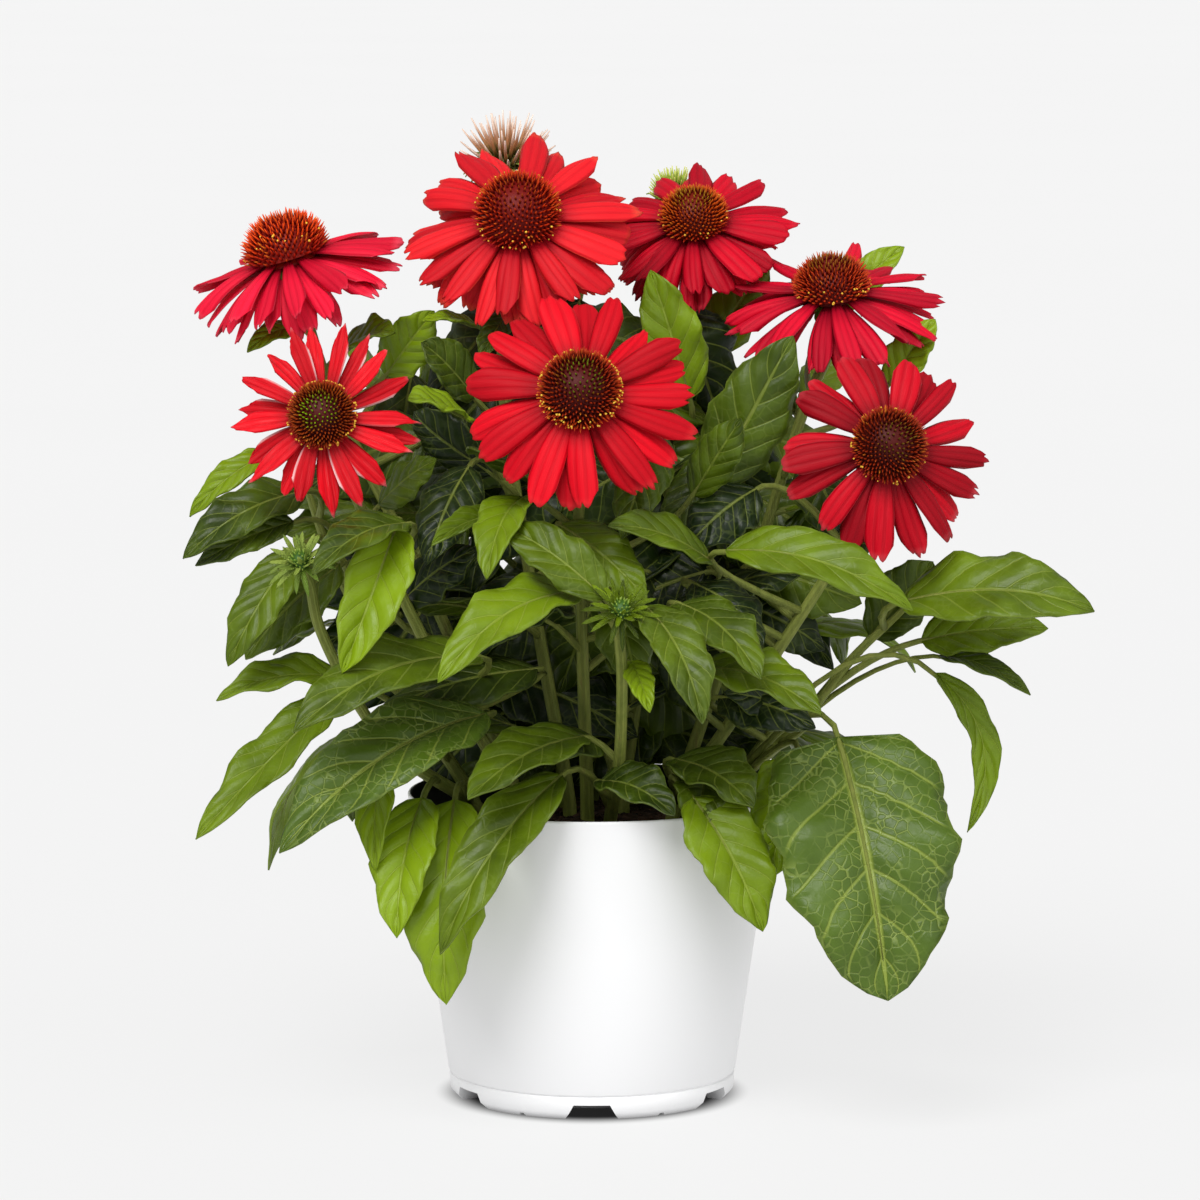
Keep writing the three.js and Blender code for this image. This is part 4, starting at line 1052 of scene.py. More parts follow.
def leaf_finish(name, shade, lit, veined=0.36, netted=0.12, shine=0.25, relief=1.0):
    finish = Finish(name, Specular_IOR_Level=shine)
    along, across, tint = finish.grain()
    side = abs(across)
    phase = (along - side * VEIN_SWEEP) * SIDE_VEINS
    off = abs((phase + 0.5).calc("FRACT") - 0.5)
    side_vein = off.step(0.07, 0.015) * side.step(0.98, 0.8)
    midrib = side.step(0.075, 0.03)
    net = finish.cells(210).step(0.1, 0.02) * finish.noise(70, 2.0).step(0.3, 0.7)
    vein = midrib.calc("MAXIMUM", side_vein * 0.75)
    blotch = finish.noise(45, 3.0)
    base = finish.blend(shade, lit, (tint + (blotch * 0.5 - 0.25)).step(0.0, 1.0))
    base = finish.blend(base, paint(138, 154, 74), net * netted)
    base = finish.blend(base, paint(146, 160, 66), vein * veined)
    puff = off.step(0.0, 0.4)
    finish.set(Base_Color=finish.blend(base, paint(120, 136, 52), side.step(0.93, 1.0) * 0.3),
               Roughness=0.3 + 0.2 * blotch)
    rough = finish.noise(120, 3.0)
    finish.bump(puff * 0.5 - net * netted * 0.5 - vein * 0.4 + rough * 0.5, LEAF_RELIEF * relief, 0.65)
    return finish


leaf_skin = leaf_finish("leaf_skin", paint(16, 33, 2), paint(130, 158, 14))
basal_skin = leaf_finish("basal_skin", paint(26, 46, 10), paint(88, 114, 24),
                         veined=0.66, netted=0.55, shine=0.32, relief=1.5)
print("leaf finishes", leaf_skin.material.name, basal_skin.material.name)

# %% [markdown]
# A stalk is a paler green than the leaves, streaked lengthwise and flushed with brown here and there. The
# streaks are a noise pattern that is drawn out along the height. Fine ribs are too small for the mesh, so
# they are in the bump.

# %% Stalk finish
stalk = Finish("stalk", Specular_IOR_Level=0.25)
along, around, tint = stalk.grain()
streak = stalk.noise(6, 2.0, stalk.add("VectorMath", {"operation": "MULTIPLY"},
                                       {0: stalk.place(), 1: (60, 60, 3)}))
green = stalk.blend(paint(90, 104, 34), paint(144, 150, 72), streak)
stalk.set(Base_Color=stalk.blend(green, paint(104, 72, 48), streak.step(0.62, 0.8) * 0.35),
          Roughness=0.5 + 0.15 * streak)
stalk.bump((around * 40).calc("SINE") * 0.3 + streak * 0.4, 0.0004, 0.6)
print("stalk finish", stalk.material.name)

# %% [markdown]
# Light falls on the plant from above, so its high and outer leaves are bright and its inner ones dark.
# The lamps alone don't show that strongly enough, so each leaf gets a tint from its place: painted light
# on the high, outer and front leaves, painted shade on the inner ones. A seeded draw makes neighbours
# differ.

# %% Leaf tints
TINT_SEED = 53
COARSE_TINT = 0.56
draw = draws(TINT_SEED)
for leaf in leaves:
    outer = float(np.clip((math.hypot(leaf["tip"][0], leaf["tip"][1]) - 105) / 50, 0, 1))
    seen = 0.34 * outer if leaf["plain"] else 0.34
    front = max(np.clip((60 - leaf["tip"][1]) / 200, 0, 1), 0.8 * outer)
    high = np.clip((leaf["tip"][2] - 300) / 90, 0, 1)
    # Painted light and shade: high, outer and front leaves are lit, inner ones and those behind shaded.
    light = 0.06 + seen + 0.26 * front + 0.4 * high + (0.34 - 0.12 * outer) * next(draw)
    leaf["tint"] = COARSE_TINT if is_coarse(leaf) else float(np.clip(light, 0, 1) ** 1.4)
print("mean tint", round(sum(leaf["tint"] for leaf in leaves) / len(leaves), 2))

# %% [markdown]
# A stem with its leaves grew as one piece, and its solid is one node. It becomes two to four pieces here,
# because stalk, blades, coarse blades and bracts differ in finish or thickness. The stalk with its
# petioles stands for the node, and the others grow on it.

# %% Leafy stems
for name in STEMS:
    own = [leaf for leaf in leaves if leaf["owner"] == name]
    route = stem_route(name, ROUTE_STEP)
    stalks = [stalk_shape(name, route)]
    ribs = [leaf_rib(leaf) for leaf in own]
    bracts = []
    if route["bloom"]:
        stalks.append(cup(route))
        bracts = calyx_bracts(route)
    finish_piece(join(stalks + ribs, name + "_stalk"), stalk, "leaf_green", name)
    for kind, finish in (("leaves", leaf_skin), ("basal_leaves", basal_skin)):
        blades = [leaf_blade(leaf) for leaf in own if is_coarse(leaf) == (kind != "leaves")]
        if blades:
            finish_piece(thicken(join(blades, name + "_" + kind), LEAF_SKIN), finish, "leaf_green")
    if bracts:
        finish_piece(thicken(join(bracts, name + "_bracts"), BRACT_SKIN), leaf_skin, "leaf_green")

# %% [markdown]
# A bloom's rays leave its disc in two layers, and each droops along a curve. They could all be copies of
# one ray, but real ones differ a little in length, width and droop, so each has its own draws. The curves
# are the solids' own, so the fine rays lie where the faceted ones do.

# %% Ray curves
PETAL_DROP = 0.6
LAYER_RISE = 0.95
LAYER_DROOP = 4
LEAST_DROOP = 1
UNDER_LAYER = -1.4
AGED_BLOOM = "left_front"
FULL_BLOOMS = ("left_high", "top", "right_back", "right_high")


def ray_curve(bloom, around, layer, reach, width, twist, droops):
    """A ray's curve, width, outward direction and twist, in the bloom's own frame."""
    out = np.array([math.cos(around), math.sin(around), 0])
    sag = bloom["sag"] * -(turned(facing(bloom["turn"], 90 - bloom["tilt"])) @ out)[1]
    first, last = (math.radians(max(LEAST_DROOP, d + sag - layer * LAYER_DROOP)) for d in droops)
    root = out * bloom["cone"] * 0.5
    root[2] = layer - DISC_THICKNESS / 2 - PETAL_DROP
    half = (reach + bloom["cone"] * 0.3) / 2
    elbow = root + half * (out * math.cos(first) - np.array([0, 0, math.sin(first)]))
    tip = elbow + half * (out * math.cos(last) - np.array([0, 0, math.sin(last)]))
    return dict(curve=(root, elbow, tip), out=out, twist=twist, width=width)


def ray_curves(bloom):
    """The rays of the two layers."""
    draw = draws(bloom["seed"])
    rays = []
    for i in range(bloom["rays"]):
        around = 2 * math.pi * (i + 0.22 * next(draw)) / bloom["rays"] + math.radians(bloom["first"])
        layer = LAYER_RISE if i % 2 == 0 else -LAYER_RISE
        reach = bloom["reach"] * (1 + 0.08 * next(draw))
        width = bloom["width"] * (1 + 0.1 * next(draw))
        twist = math.radians(bloom["twist"] * next(draw))
        droops = [d + 2.5 * next(draw) for d in bloom["droop"]]
        rays.append(ray_curve(bloom, around, layer, reach, width, twist, droops))
    return rays


def under_rays(bloom):
    """Shorter rays in the gaps, under the others, for a bloom that is full."""
    draw = draws(bloom["seed"] + 3)
    rays = []
    for i in range(bloom["rays"]):
        around = 2 * math.pi * (i + 0.5 + 0.2 * next(draw)) / bloom["rays"] + math.radians(bloom["first"])
        reach = bloom["reach"] * (0.9 + 0.08 * next(draw))
        droops = [d + 7 + 5 * next(draw) for d in bloom["droop"]]
        width = 0.9 * bloom["width"]
        rays.append(ray_curve(bloom, around, UNDER_LAYER, reach, width, 0.4 * next(draw), droops))
    return rays


print("longest ray", max(bloom["reach"] for bloom in BLOOMS), "mm")

# %% [markdown]
# A ray petal is a strap that widens past its middle, with two long grooves and two or three blunt teeth
# at its end. The teeth are made by pulling the sheet's end back between them, and its points are lifted
# for the grooves and the rolled edges. The front bloom on the left is older: its rays are narrower at the
# end, their edges roll up, and some of them show a pale rim.

# %% Petal shape
PETAL_SKIN = 0.55
PETAL_SHARES = [0, 0.12, 0.3, 0.5, 0.7, 0.86, 1]
PETAL_WIDTHS = [0.26, 0.5, 0.78, 0.95, 1, 0.9]
YOUNG_END = 0.66
AGED_END = 0.55
SWAY = 0.07
UP = np.array([0, 0, 1.0])


def petal_end(s, teeth, pattern, aged, lifted, wide):
    """Share of the petal's length that it reaches at s: less between its teeth and at its corners."""
    notch = (1 - np.cos(3 * math.pi * s)) / 2 if teeth == 3 else (1 + np.cos(2 * math.pi * s)) / 2
    notch = notch * (0.04 if aged else 0.015 + 0.055 * abs(lifted)) * (1 + 0.6 * np.sin(9 * s + pattern))
    return 1.0 - 0.1 * abs(wide) - notch - (0.34 * np.abs(s) ** 1.6 if aged else 0.17 * np.abs(s) ** 3)


def petal_lift(t, s, share, pattern, aged, bow, lifted, wide):
    """How far the skin stands off the petal's flat: arch with two grooves, rolled edges and ripples."""
    arch = (1.9 + 0.5 * bow) * share * (1 - s ** 2) + 0.34 * share * np.cos(3 * math.pi * s)
    curl = (3.2 * np.abs(s) ** 3 * t) if aged else (0.9 * wide - 0.6) * np.abs(s) ** 3 * t
    ripple = 0.9 * t * s * np.sin(7 * t + pattern) + 0.7 * t ** 2 * np.sin(2.5 * s + pattern) \
        + 3.0 * lifted * t ** 2
    return arch + curl + ripple


def petal(ray, bloom, teeth, pattern):
    """One petal on its ray's curve; its pattern is the number that its draws start from."""
    flat = PETAL_SHEET[1]
    s = flat[:, 1]
    aged = bloom["place"] == AGED_BLOOM
    draw = draws(1000 + 37 * pattern)
    bow, roll, lifted, wide, swing = (next(draw) for _ in range(5))
    end = petal_end(s, teeth, pattern, aged, lifted, wide)
    t = flat[:, 0] * (1 - (1 - end) * flat[:, 0] ** 3)
    centre = bend(*ray["curve"], t)
    along = bend_way(*ray["curve"], t)
    angle = ray["twist"] * t + 0.8 * roll * t ** 2
    sideways = np.cross(ray["out"], UP)
    face = np.cos(angle)[:, None] * UP - np.sin(angle)[:, None] * sideways
    normal = unit(face - along * np.sum(face * along, axis=1)[:, None])
    side = np.cross(along, normal)
    share = np.interp(t, PETAL_SHARES, [*PETAL_WIDTHS, AGED_END if aged else YOUNG_END])
    half = ray["width"] / 2 * share * (1.0 + 0.14 * wide)
    lift = petal_lift(t, s, share, pattern, aged, bow, lifted, wide)
    across = s * half * (0.9 if aged else 1) + 3.6 * bow * t ** 2
    places = centre + side * across[:, None] + normal * lift[:, None]
    places = places @ np.array(Matrix.Rotation(SWAY * swing, 3, "Z")).T
    axis = facing(bloom["turn"], 90 - bloom["tilt"])
    tint = 0.5 + 0.5 * math.sin(pattern * 2.4)
    return bent_copy(PETAL_SHEET, stood(axis, bloom["base"], places), t, s, tint)


print("a petal's points", len(PETAL_SHEET[1]))

# %% [markdown]
# Petal colour is not flat: the throat is deeper, the grooves hold painted shade, the teeth are lighter,
# and a fine lengthwise grain gives the skin its silky look. A picture could be painted for each petal, but
# sums on its grain do the same for all, and each bloom has its own body colour, deep colour and pale
# colour.

# %% Petal finish
PETAL_COLOURS = {  # body, deep and pale
    "left_high": ((240, 24, 58), (156, 2, 28), (244, 100, 120)),
    "top": ((230, 28, 38), (150, 2, 22), (248, 104, 70)),
    "right_back": ((206, 2, 34), (116, 0, 18), (218, 54, 72)),
    "right_high": ((218, 10, 44), (120, 0, 22), (232, 70, 92)),
    "left_front": ((228, 4, 26), (150, 0, 14), (250, 204, 204)),
    "middle": ((220, 4, 28), (134, 0, 14), (238, 66, 66)),
    "right_front": ((200, 2, 28), (106, 0, 12), (236, 100, 108)),
}


def petal_finish(place):
    body, deep, pale = (paint(*colour) for colour in PETAL_COLOURS[place])
    finish = Finish("petal_" + place, Specular_IOR_Level=0.12)
    along, across, tint = finish.grain()
    side = abs(across)
    groove_shade = (across * (3 * math.pi)).calc("COSINE").step(0.1, -1.0)
    fibre = finish.add("TexNoise", sockets={
        "Vector": finish.add("CombineXYZ", sockets={0: along * 3, 1: across * 34, 2: tint * 9}),
        "Scale": 1.0, "Detail": 3.0})
    colour = finish.blend(deep, body, along.step(0.02, 0.45))
    # Painted shade in the petal's two grooves.
    colour = finish.blend(colour, deep, groove_shade * 0.24)
    colour = finish.blend(colour, deep, fibre.step(0.5, 0.2) * 0.25)
    colour = finish.blend(colour, pale, fibre.step(0.5, 0.85) * 0.2)
    colour = finish.blend(colour, deep, tint * (0.7 if place == "right_front" else 0.55))
    if place == AGED_BLOOM:
        rim = across.step(0.72, 0.95) * tint.step(0.3, 0.7)
    else:
        rim = side.step(0.93, 1.0) * 0.35
    ends = (along.step(0.84, 0.97) * 0.5).calc("MAXIMUM", rim * along.step(0.1, 0.4))
    colour = finish.blend(colour, pale, ends * 0.85)
    finish.set(Base_Color=colour, Roughness=0.42 + 0.16 * fibre)
    finish.bump(fibre * 0.5 - groove_shade * 0.6, 0.0004, 0.6)
    return finish


print("petal colours of", list(PETAL_COLOURS))

# %% [markdown]
# A bloom's rays are fused to one disc in its solid, so they are one piece here too. Every third petal has
# three teeth and the others have two. The four upper blooms are full, so shorter rays show in their gaps.

# %% The blooms' rays
for bloom in BLOOMS:
    curves = ray_curves(bloom)
    if bloom["place"] in FULL_BLOOMS:
        curves += under_rays(bloom)
    petals = [petal(ray, bloom, 2 if i % 3 else 3, i + bloom["seed"]) for i, ray in enumerate(curves)]
    rays = thicken(join(petals, "rays_fine_" + bloom["place"]), PETAL_SKIN)
    finish_piece(rays, petal_finish(bloom["place"]), "red_petal", "rays_" + bloom["place"])

# %% [markdown]
# The cone is a dome packed with stiff bristles, with specks of pollen between them. The dome starts from
# a ball that is cut in half and closed, and a speck from a ball of twenty faces, because hundreds are
# needed. A bristle is the small closed tube, drawn to a point and bent a little upwards.

# %% Cone parts to start from
deselect()
bpy.ops.mesh.primitive_uv_sphere_add(segments=28, ring_count=14, radius=1)
bpy.ops.object.mode_set(mode="EDIT")
bpy.ops.mesh.select_all(action="SELECT")
bpy.ops.mesh.bisect(plane_co=(0, 0, -0.001), plane_no=(0, 0, 1), clear_inner=True, use_fill=True)
bpy.ops.object.mode_set(mode="OBJECT")
DOME = set_aside(bpy.context.object)
deselect()
bpy.ops.mesh.primitive_ico_sphere_add(subdivisions=1, radius=1)
GRAIN_BALL = set_aside(bpy.context.object)
STARTS += [DOME, GRAIN_BALL]
SHARP = 0.12
BLUNT = 0.3


def core(axis, spot, radius, height):
    """The dome that the bristles stand on."""
    ball = DOME[1]
    places = ball * np.array([radius, radius, height])
    return bent_copy(DOME, stood(axis, spot, places), ball[:, 2] * 0, 1 - ball[:, 2], MIDDLE_TINT)


def bristle(axis, spot, root, way, length, radius, rank, tint, sharp=SHARP):
    """A bristle whose grain across holds its rank: 0 at the cone's top and 1 at its rim."""
    ring = FLORET_TUBE[1]
    t = ring[:, 2]
    size = radius * (1 - (1 - sharp) * t ** 1.4)
    bent = turned(unit(way))
    body = np.stack([ring[:, 0] * size, ring[:, 1] * size, t * length], axis=1) @ bent.T
    lean = np.array([0, 0, 0.12 * length]) * (t ** 2)[:, None]
    return bent_copy(FLORET_TUBE, stood(axis, spot, body + lean + root), t, np.full(len(t), rank), tint)


def speck(axis, spot, place, size, tint):
    ball = GRAIN_BALL[1] * size
    zeros = np.zeros(len(ball))
    return bent_copy(GRAIN_BALL, stood(axis, spot, ball + place), zeros, zeros, tint)


print("dome", len(DOME[1]), "points, speck", len(GRAIN_BALL[1]))

# %% [markdown]
# Each cone is described by its bristles' length at the centre and the rim, by the colours of their feet
# and of their tips at the heart, the middle and the rim, and by its pollen: the ranks between which it
# lies and the number of its specks.

# %% Cone looks
CONES = {
    "left_high": dict(long=(3.2, 4.6), foot=(128, 18, 6), heart=(226, 84, 14), middle=(236, 76, 14),
                      rim=(176, 36, 14), pollen=(0.3, 0.9, 30)),
    "top": dict(long=(3.0, 4.4), foot=(112, 14, 8), heart=(170, 70, 12), middle=(206, 58, 14),
                rim=(176, 34, 16), pollen=(0.4, 0.98, 34)),
    "right_back": dict(long=(2.6, 3.6), foot=(110, 24, 8), heart=(158, 118, 18), middle=(204, 84, 16),
                       rim=(176, 42, 16), pollen=(0.6, 0.95, 14)),
    "right_high": dict(long=(2.8, 4.0), foot=(104, 16, 8), heart=(140, 90, 14), middle=(190, 60, 18),
                       rim=(200, 60, 24), pollen=(0.6, 0.98, 26)),
    "left_front": dict(long=(2.4, 3.4), foot=(76, 12, 6), heart=(130, 176, 16), middle=(150, 60, 12),
                       rim=(160, 36, 14), pollen=(0.7, 1.0, 60)),
    "middle": dict(long=(2.6, 4.1), foot=(78, 10, 6), heart=(104, 124, 14), middle=(160, 46, 12),
                   rim=(204, 72, 20), pollen=(0.55, 1.0, 90)),
    "right_front": dict(long=(2.5, 3.7), foot=(76, 12, 6), heart=(110, 92, 14), middle=(150, 46, 12),
                        rim=(168, 44, 16), pollen=(0.7, 1.0, 24)),
}
print("pollen specks", sum(look["pollen"][2] for look in CONES.values()))

# %% [markdown]
# A bristle is dark at its foot and bright towards its tip, and which bright colour it has depends on its
# rank. Both are read off the grain. The noise that shifts the rank keeps the rings of colour from looking
# drawn with a compass.

# %% Cone and pollen finish
def cone_finish(place, look):
    finish = Finish("cone_" + place, Specular_IOR_Level=0.15)
    along, rank, tint = finish.grain()
    rank = rank + finish.noise(160, 1.0) * 0.3 - 0.15
    tips = finish.blend(paint(*look["heart"]), paint(*look["middle"]), rank.step(0.04, 0.2))
    tips = finish.blend(tips, paint(*look["rim"]), rank.step(0.5, 0.9))
    tips = finish.blend(tips, paint(236, 150, 40), tint.step(0.8, 1.0) * rank.step(0.1, 0.5) * 0.5)
    finish.set(Base_Color=finish.blend(paint(*look["foot"]), tips, along.step(0.3, 0.75)),
               Roughness=0.38 + 0.2 * tint)
    finish.bump(finish.noise(1600, 2.0), 0.0002, 0.5)
    return finish


pollen = Finish("pollen", Roughness=0.7)
pollen.set(Base_Color=pollen.blend(paint(214, 150, 24), paint(250, 212, 70), pollen.noise(700)))
pollen.bump(pollen.noise(3000), 0.0002, 0.6)
print("pollen finish", pollen.material.name)

# %% [markdown]
# The bristles stand in the same double spiral as a sunflower's seeds. Turning each by the golden angle
# from the one before gives that spiral without a table. They are short at the centre and longer round
# the rim. A second, low dome under the first fills the middle that the rays leave open.

# %% The blooms' cones
BRISTLES = 420
GOLDEN = math.pi * (3 - math.sqrt(5))
DOME_SHARE = 0.86
BRISTLE_ROOM = 2.2
LOW_DOME = 4.5


def dome_spot(rank, around, radius, height, upward=0.25):
    """A spot on the dome and the way out of it, for a rank from 0 at the top to 1 at the rim."""
    rise = math.asin(max(0.0, 1 - rank))
    girth = math.cos(rise) ** 0.8
    out = np.array([math.cos(around), math.sin(around), 0])
    spot = out * radius * girth + np.array([0, 0, height * math.sin(rise)])
    return spot, unit(out * math.cos(rise) + np.array([0, 0, math.sin(rise) + upward]))


def shaken(way, much, draw):
    """A direction that is turned a little by three draws."""
    return unit(way + much * np.array([next(draw), next(draw), next(draw)]))


for bloom in BLOOMS:
    look = CONES[bloom["place"]]
    axis = facing(bloom["turn"], 90 - bloom["tilt"])
    draw = draws(bloom["seed"] + 7)
    short, long = look["long"]
    radius = DOME_SHARE * bloom["cone"]
    height = bloom["height"] - BRISTLE_ROOM
    underside = np.asarray(bloom["base"]) - DISC_THICKNESS * axis
    made = [core(axis, bloom["base"], radius, height),
            core(axis, underside, CUP_TOP * bloom["cone"], LOW_DOME)]
    for n in range(BRISTLES):
        rank = (n + 0.5) / BRISTLES
        root, way = dome_spot(rank, n * GOLDEN, radius, height)
        way = shaken(way, 0.16, draw)
        length = np.interp(rank, [0, 0.12, 0.6, 1], [short, short * 1.3, long, long])
        made.append(bristle(axis, bloom["base"], root - way * 0.6, way, length * (1 + 0.22 * next(draw)),
                            0.62 + 0.15 * rank, rank, 0.5 + 0.5 * next(draw)))
    cone = join(made, "cone_fine_" + bloom["place"])
    finish_piece(cone, cone_finish(bloom["place"], look), "cone_floret", "cone_" + bloom["place"])
    low, high, count = look["pollen"]
    dots = []
    for n in range(count):
        rank = low + (high - low) * (0.5 + 0.5 * next(draw))
        root, way = dome_spot(rank, math.pi * next(draw), radius, height)
        dots.append(speck(axis, bloom["base"], root + way * (long * 0.75),
                          0.5 + 0.14 * next(draw), MIDDLE_TINT))
    finish_piece(join(dots, "pollen_" + bloom["place"]), pollen, "cone_floret")

# %% [markdown]
# A young head is the same cone before its rays show: a fan of soft bristles over a frill of green
# bracts. A bud is younger still, a star of leafy bracts round a tight green button. Their bristles run
# from a foot colour through a middle one to the tip, so one finish with three colours serves them all.

# %% Young bristles and bracts
def bristle_finish(name, foot, middle, tip):
    finish = Finish(name, Specular_IOR_Level=0.35)
    along, rank, tint = finish.grain()
    colour = finish.blend(paint(*foot), paint(*middle), along.step(0.05, 0.5))
    colour = finish.blend(colour, paint(*tip), along.step(0.45, 1.0) * (0.55 + 0.45 * tint))
    finish.set(Base_Color=colour, Roughness=0.45 + 0.15 * tint)
    finish.bump(finish.noise(1200, 2.0), 0.0002, 0.5)
    return finish


cream = bristle_finish("bristle_cream", (92, 92, 30), (186, 128, 84), (248, 232, 218))
young = bristle_finish("bristle_green", (96, 130, 30), (160, 184, 56), (214, 214, 120))
tight = bristle_finish("bristle_bud", (56, 92, 26), (96, 130, 40), (150, 172, 70))
bract_skin = leaf_finish("bract_skin", paint(84, 116, 30), paint(176, 196, 90))
print("young finishes", [finish.material.name for finish in (cream, young, tight, bract_skin)])

# %% [markdown]
# Heads and buds are made by the same two helpers, a fan of bristles and a frill of bracts, from a row of
# numbers for each. A frill has two or three rings, and the inner ones stand steeper.

# %% Heads and buds
FAN_SEED = 61
FRILL_SEED = 67


def fan(route, radius, height, count, long, thick):
    """A dome of bristles on the end of a stalk."""
    draw = draws(FAN_SEED)
    spot = route["end"] + 1.3 * route["axis"]
    made = [core(route["axis"], spot, radius, height)]
    for n in range(count):
        rank = (n + 0.5) / count
        root, way = dome_spot(rank, n * GOLDEN, radius, height, 0.3)
        way = shaken(way, 0.14, draw)
        length = np.interp(rank, [0, 0.5, 1], [long * 0.95, long, long * 0.9]) * (1 + 0.15 * next(draw))
        made.append(bristle(route["axis"], spot, root - way, way, length, thick, rank,
                            0.5 + 0.5 * next(draw), BLUNT))
    return made


def frill(route, rings):
    """Rings of bracts: count, height on the axis, tilt, root, length, width and curl."""
    draw = draws(FRILL_SEED)
    made = []
    for count, up, tilt, root, length, width, curl in rings:
        for i in range(count):
            around = 360 * (i + 0.3 * next(draw)) / count
            spot = route["end"] + route["axis"] * up
            made.append(bract(route["axis"], spot, around, tilt + 8 * next(draw), root,
                              length * (1 + 0.12 * next(draw)), width, curl + 20 * next(draw),
                              0.5 + 0.3 * next(draw)))
    return made


# Name, radius, height, bristles, their length and thickness, finish, slot and the rings of bracts
HEADS = [
    ("head_left", 8.5, 7, 64, 16.5, 1.0, cream, "pink_bristle",
     [(16, 1.0, 12, 6, 15, 3.4, -70), (12, 2.4, 30, 6, 14, 3.2, -60)]),
    ("head_right", 7.5, 8, 110, 7.2, 0.7, young, "green_bristle",
     [(14, 1.0, 15, 5, 11, 3.2, -60), (10, 2.0, 35, 5, 9, 3.0, -30)]),
    ("bud_left", 4.6, 4.6, 60, 2.2, 0.7, tight, "bud_bract",
     [(13, 0.8, 6, 3.6, 13, 3.0, -25), (12, 2.0, 30, 3.4, 11, 2.8, 5), (9, 3.0, 56, 3, 8, 2.6, 20)]),
    ("bud_middle", 4.6, 4.6, 60, 2.2, 0.7, tight, "bud_bract",
     [(13, 0.8, 6, 3.6, 14, 3.2, -20), (12, 2.0, 30, 3.4, 11.5, 2.9, 5), (9, 3.0, 56, 3, 8, 2.6, 20)]),
]
for name, radius, height, count, long, thick, finish, slot, rings in HEADS:
    route = routes["stem_" + name]
    button = join(fan(route, radius, height, count, long, thick), name + "_bristles")
    finish_piece(button, finish, slot, name)
    leafy = thicken(join(frill(route, rings), name + "_bracts"), BRACT_SKIN)
    finish_piece(leafy, leaf_skin if name == "bud_middle" else bract_skin, "bud_bract")

# %% [markdown]
# The soil keeps its solid and gets a peat finish: dark brown lumps with a few paler grains. A noise makes
# the lumps and a cell pattern the grains, and a strong bump breaks up the light on them.

# %% Peat finish
peat = Finish("peat", Roughness=0.95, Specular_IOR_Level=0.15)
lump = peat.noise(260, 5.0)
grit = peat.cells(420, "F1")
earth = peat.blend(paint(30, 22, 17), paint(78, 58, 44), lump.step(0.35, 0.7))
peat.set(Base_Color=peat.blend(earth, paint(128, 104, 84), grit.step(0.12, 0.02) * lump.step(0.5, 0.6)),
         Roughness=0.85 + 0.12 * lump)
peat.bump(lump + grit * 0.4, 0.002, 0.9)
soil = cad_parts["soil"]
soil.data.materials.clear()
soil.data.materials.append(peat.material)
print("soil", len(soil.data.polygons), "faces")

# %% [markdown]
# What makes peat look like peat is its crumbs. Particles could scatter them, but a loop is enough for a
# few hundred: each crumb is a squashed copy of the small ball, dropped on the soil by a ray cast from
# above.

# %% Peat crumbs
CRUMBS = 700
CRUMB_SEED = 71
SOIL_RADIUS = 78
draw = draws(CRUMB_SEED)
crumbs = []
for n in range(CRUMBS):
    radius = SOIL_RADIUS * math.sqrt(0.5 + 0.5 * next(draw))
    around = math.pi * next(draw)
    above = Vector((radius * math.cos(around), radius * math.sin(around), SOIL_HEIGHT + 6)) * MM
    hit, point, normal, _ = soil.ray_cast(above, Vector((0, 0, -1)))
    if not hit:
        continue
    size = 1.1 + 0.7 * next(draw)
    squash = np.array([1 + 0.3 * next(draw), 1 + 0.3 * next(draw), 0.7])
    ball = GRAIN_BALL[1] * size * squash + np.array(point) / MM + np.array([0, 0, 0.2])
    zeros = np.zeros(len(ball))
    crumbs.append(bent_copy(GRAIN_BALL, ball, zeros, zeros, 0.5 + 0.5 * next(draw)))
finish_piece(join(crumbs, "soil_crumbs"), peat, "peat_soil")

# %% [markdown]
# The pot is thin blow-moulded plastic, white outside and black within. Its section could be spun round
# the upright. Here it is walked round once instead: a disc for the pad in the middle of its underside,
# then one extrusion for each step of the channel, the foot, the groove, the wall and the rim, and down
# the inside to the floor.

# %% Pot body
POT_SIDES = 144
PAD_RADIUS = 38
POT_RINGS = [  # radius and height of each step
    (41, 7), (53, 7), (54, 0.25), (54.3, 0), (60.7, 0), (61.2, 0.3), (63.7, 3),
    (64.15, 9.4), (64.0, 10.0), (63.6, 10.3), (63.6, 10.7), (64.2, 11.0), (64.6, 11.6),
    (73.55, 73.5), (82.4, 135.2), (82.45, 135.9), (82.2, 136.35), (81.7, 136.5), (81.2, 136.4),
    (80.85, 136.0), (80.7, 135.2), (71.5, 72), (62.4, 9),
]
deselect()
bpy.ops.mesh.primitive_circle_add(vertices=POT_SIDES, radius=PAD_RADIUS * MM, fill_type="NGON")
pot = bpy.context.object
pot.name = "pot_fine"
bpy.ops.object.mode_set(mode="EDIT")
bpy.ops.mesh.select_all(action="SELECT")
old_radius, old_height = PAD_RADIUS, 0
for radius, height in POT_RINGS:
    bpy.ops.mesh.extrude_region_move(TRANSFORM_OT_translate={"value": (0, 0, (height - old_height) * MM)})
    k = radius / old_radius
    bpy.ops.transform.resize(value=(k, k, 1), center_override=(0, 0, height * MM))
    old_radius, old_height = radius, height
bpy.ops.mesh.select_all(action="SELECT")
bpy.ops.mesh.normals_make_consistent(inside=False)
bpy.ops.object.mode_set(mode="OBJECT")
print("pot", len(pot.data.polygons), "faces", [round(c, 4) for c in pot.dimensions])

# %% [markdown]
# Six notches in the foot ring, six small nicks between them and six drain holes let water out. They are
# cut all at once with a Boolean modifier, by wedges and pegs that are joined into one cutter.

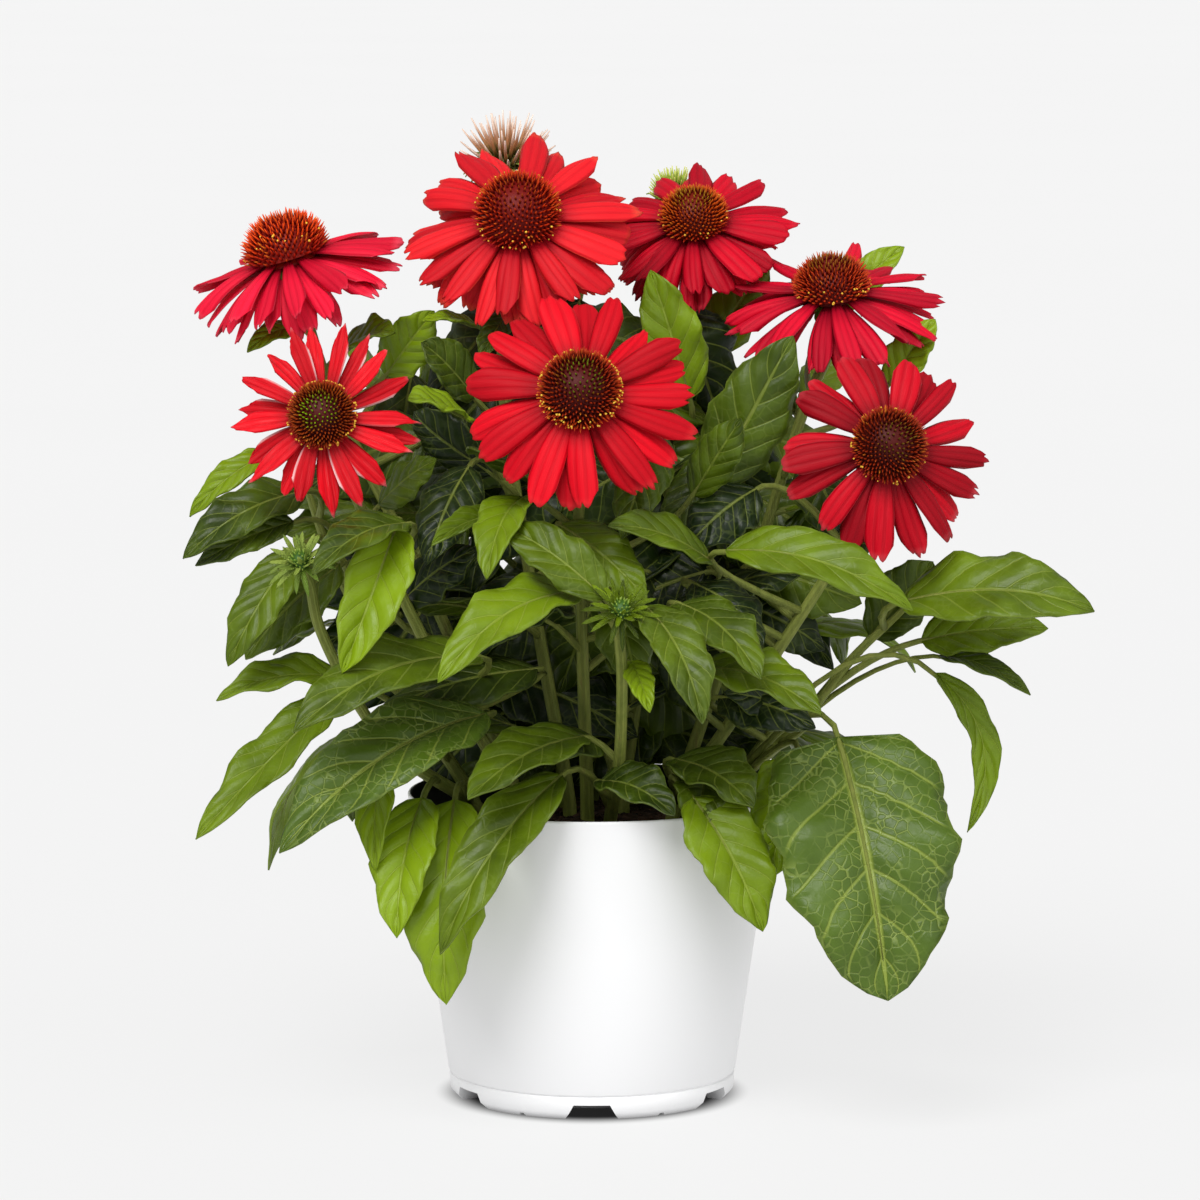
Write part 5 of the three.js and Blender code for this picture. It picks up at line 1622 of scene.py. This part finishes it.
# %% Notches and drain holes
FOOT_MIDDLE = 58
WEDGE_LENGTH = 12
NOTCH = (23.5, 16, 6.8)  # width at the foot, width at the top, height
NICK = (3.5, 1.75, 1.5)
DRAIN_CIRCLE = 47
DRAIN_RADIUS = 4


def wedge(foot_width, top_width, height, turn):
    """A wedge across the foot ring, wider at the foot."""
    bpy.ops.mesh.primitive_cube_add(size=1)
    piece = bpy.context.object
    for vertex in piece.data.vertices:
        x, y, z = vertex.co
        half = top_width / 2 if z > 0 else foot_width / 2 + (foot_width - top_width) / 2 / height
        level = height if z > 0 else -1
        vertex.co = (math.copysign(half, x) * MM, (WEDGE_LENGTH * y - FOOT_MIDDLE) * MM, level * MM)
    piece.rotation_euler = (0, 0, turn)
    bpy.ops.object.transform_apply(location=False, rotation=True, scale=False)
    return piece


def peg(turn):
    """A peg through the floor where a drain hole lies."""
    x = DRAIN_CIRCLE * MM * math.sin(turn)
    y = -DRAIN_CIRCLE * MM * math.cos(turn)
    bpy.ops.mesh.primitive_cylinder_add(vertices=24, radius=DRAIN_RADIUS * MM, depth=14 * MM,
                                        location=(x, y, 8 * MM))
    bpy.ops.object.transform_apply(location=True, rotation=False, scale=False)
    return bpy.context.object


cutters = []
for i in range(6):
    turn = math.pi / 3 * i
    cutters += [wedge(*NOTCH, turn), wedge(*NICK, turn + math.pi / 6), peg(turn)]
cutter = join(cutters, "pot_cutter")
select_only(pot)
cut = pot.modifiers.new("notches", "BOOLEAN")
cut.operation = "DIFFERENCE"
cut.solver = "EXACT"
cut.use_self = False
cut.object = cutter
bpy.ops.object.modifier_apply(modifier="notches")
bpy.data.objects.remove(cutter)
print("pot with notches", len(pot.data.polygons), "faces")

# %% [markdown]
# The plastic is white outside and black within, so that no light reaches the roots. Two materials would
# need the faces sorted. One is enough, because whether a point lies within follows from its place: it is
# nearer to the upright than the middle of the slanted wall at its height, and above the floor.

# %% Pot finish
WALL_RADIUS = 0.0646
WALL_FOOT = 0.0112
WALL_SLOPE = 0.14378
HALF_WALL = 0.0011
FLOOR_TOP = 0.0085
EDGE_ANGLE = math.radians(40)
plastic = Finish("white_plastic", Specular_IOR_Level=0.4)
x, y, z = plastic.parts(plastic.place())
girth = (x * x + y * y) ** 0.5
middle_of_wall = WALL_RADIUS + (z - WALL_FOOT) * WALL_SLOPE - HALF_WALL
within = girth.calc("LESS_THAN", middle_of_wall) * z.calc("GREATER_THAN", FLOOR_TOP)
cloud = plastic.noise(9, 3.0)
white = plastic.blend(paint(238, 238, 239), paint(242, 242, 243), cloud)
plastic.set(Base_Color=plastic.blend(white, paint(20, 20, 21), within),
            Roughness=0.3 + 0.08 * cloud + 0.2 * within)
plastic.bump(plastic.noise(700, 2.0) * 0.3 + plastic.noise(30, 1.0), 0.0003, 0.25)
pot.data.materials.append(plastic.material)
select_only(pot)
bpy.ops.object.shade_smooth_by_angle(angle=EDGE_ANGLE)
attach(pot, "root")
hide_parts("pot")
print("pot_fine stands for the pot")

# %% [markdown]
# The starting shapes were only ever copied, so their own meshes are cleared away. The two sizes, of the
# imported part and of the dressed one, are kept side by side: they should agree within a few hundredths.

# %% Sizes and finish
for mesh, points in STARTS:
    bpy.data.meshes.remove(mesh)
dressed_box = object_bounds()
sizes = {"cad": [list(corner) for corner in cad_box], "dressed": [list(corner) for corner in dressed_box]}
for key, box in sizes.items():
    print(key, [[round(c, 4) for c in corner] for corner in box])
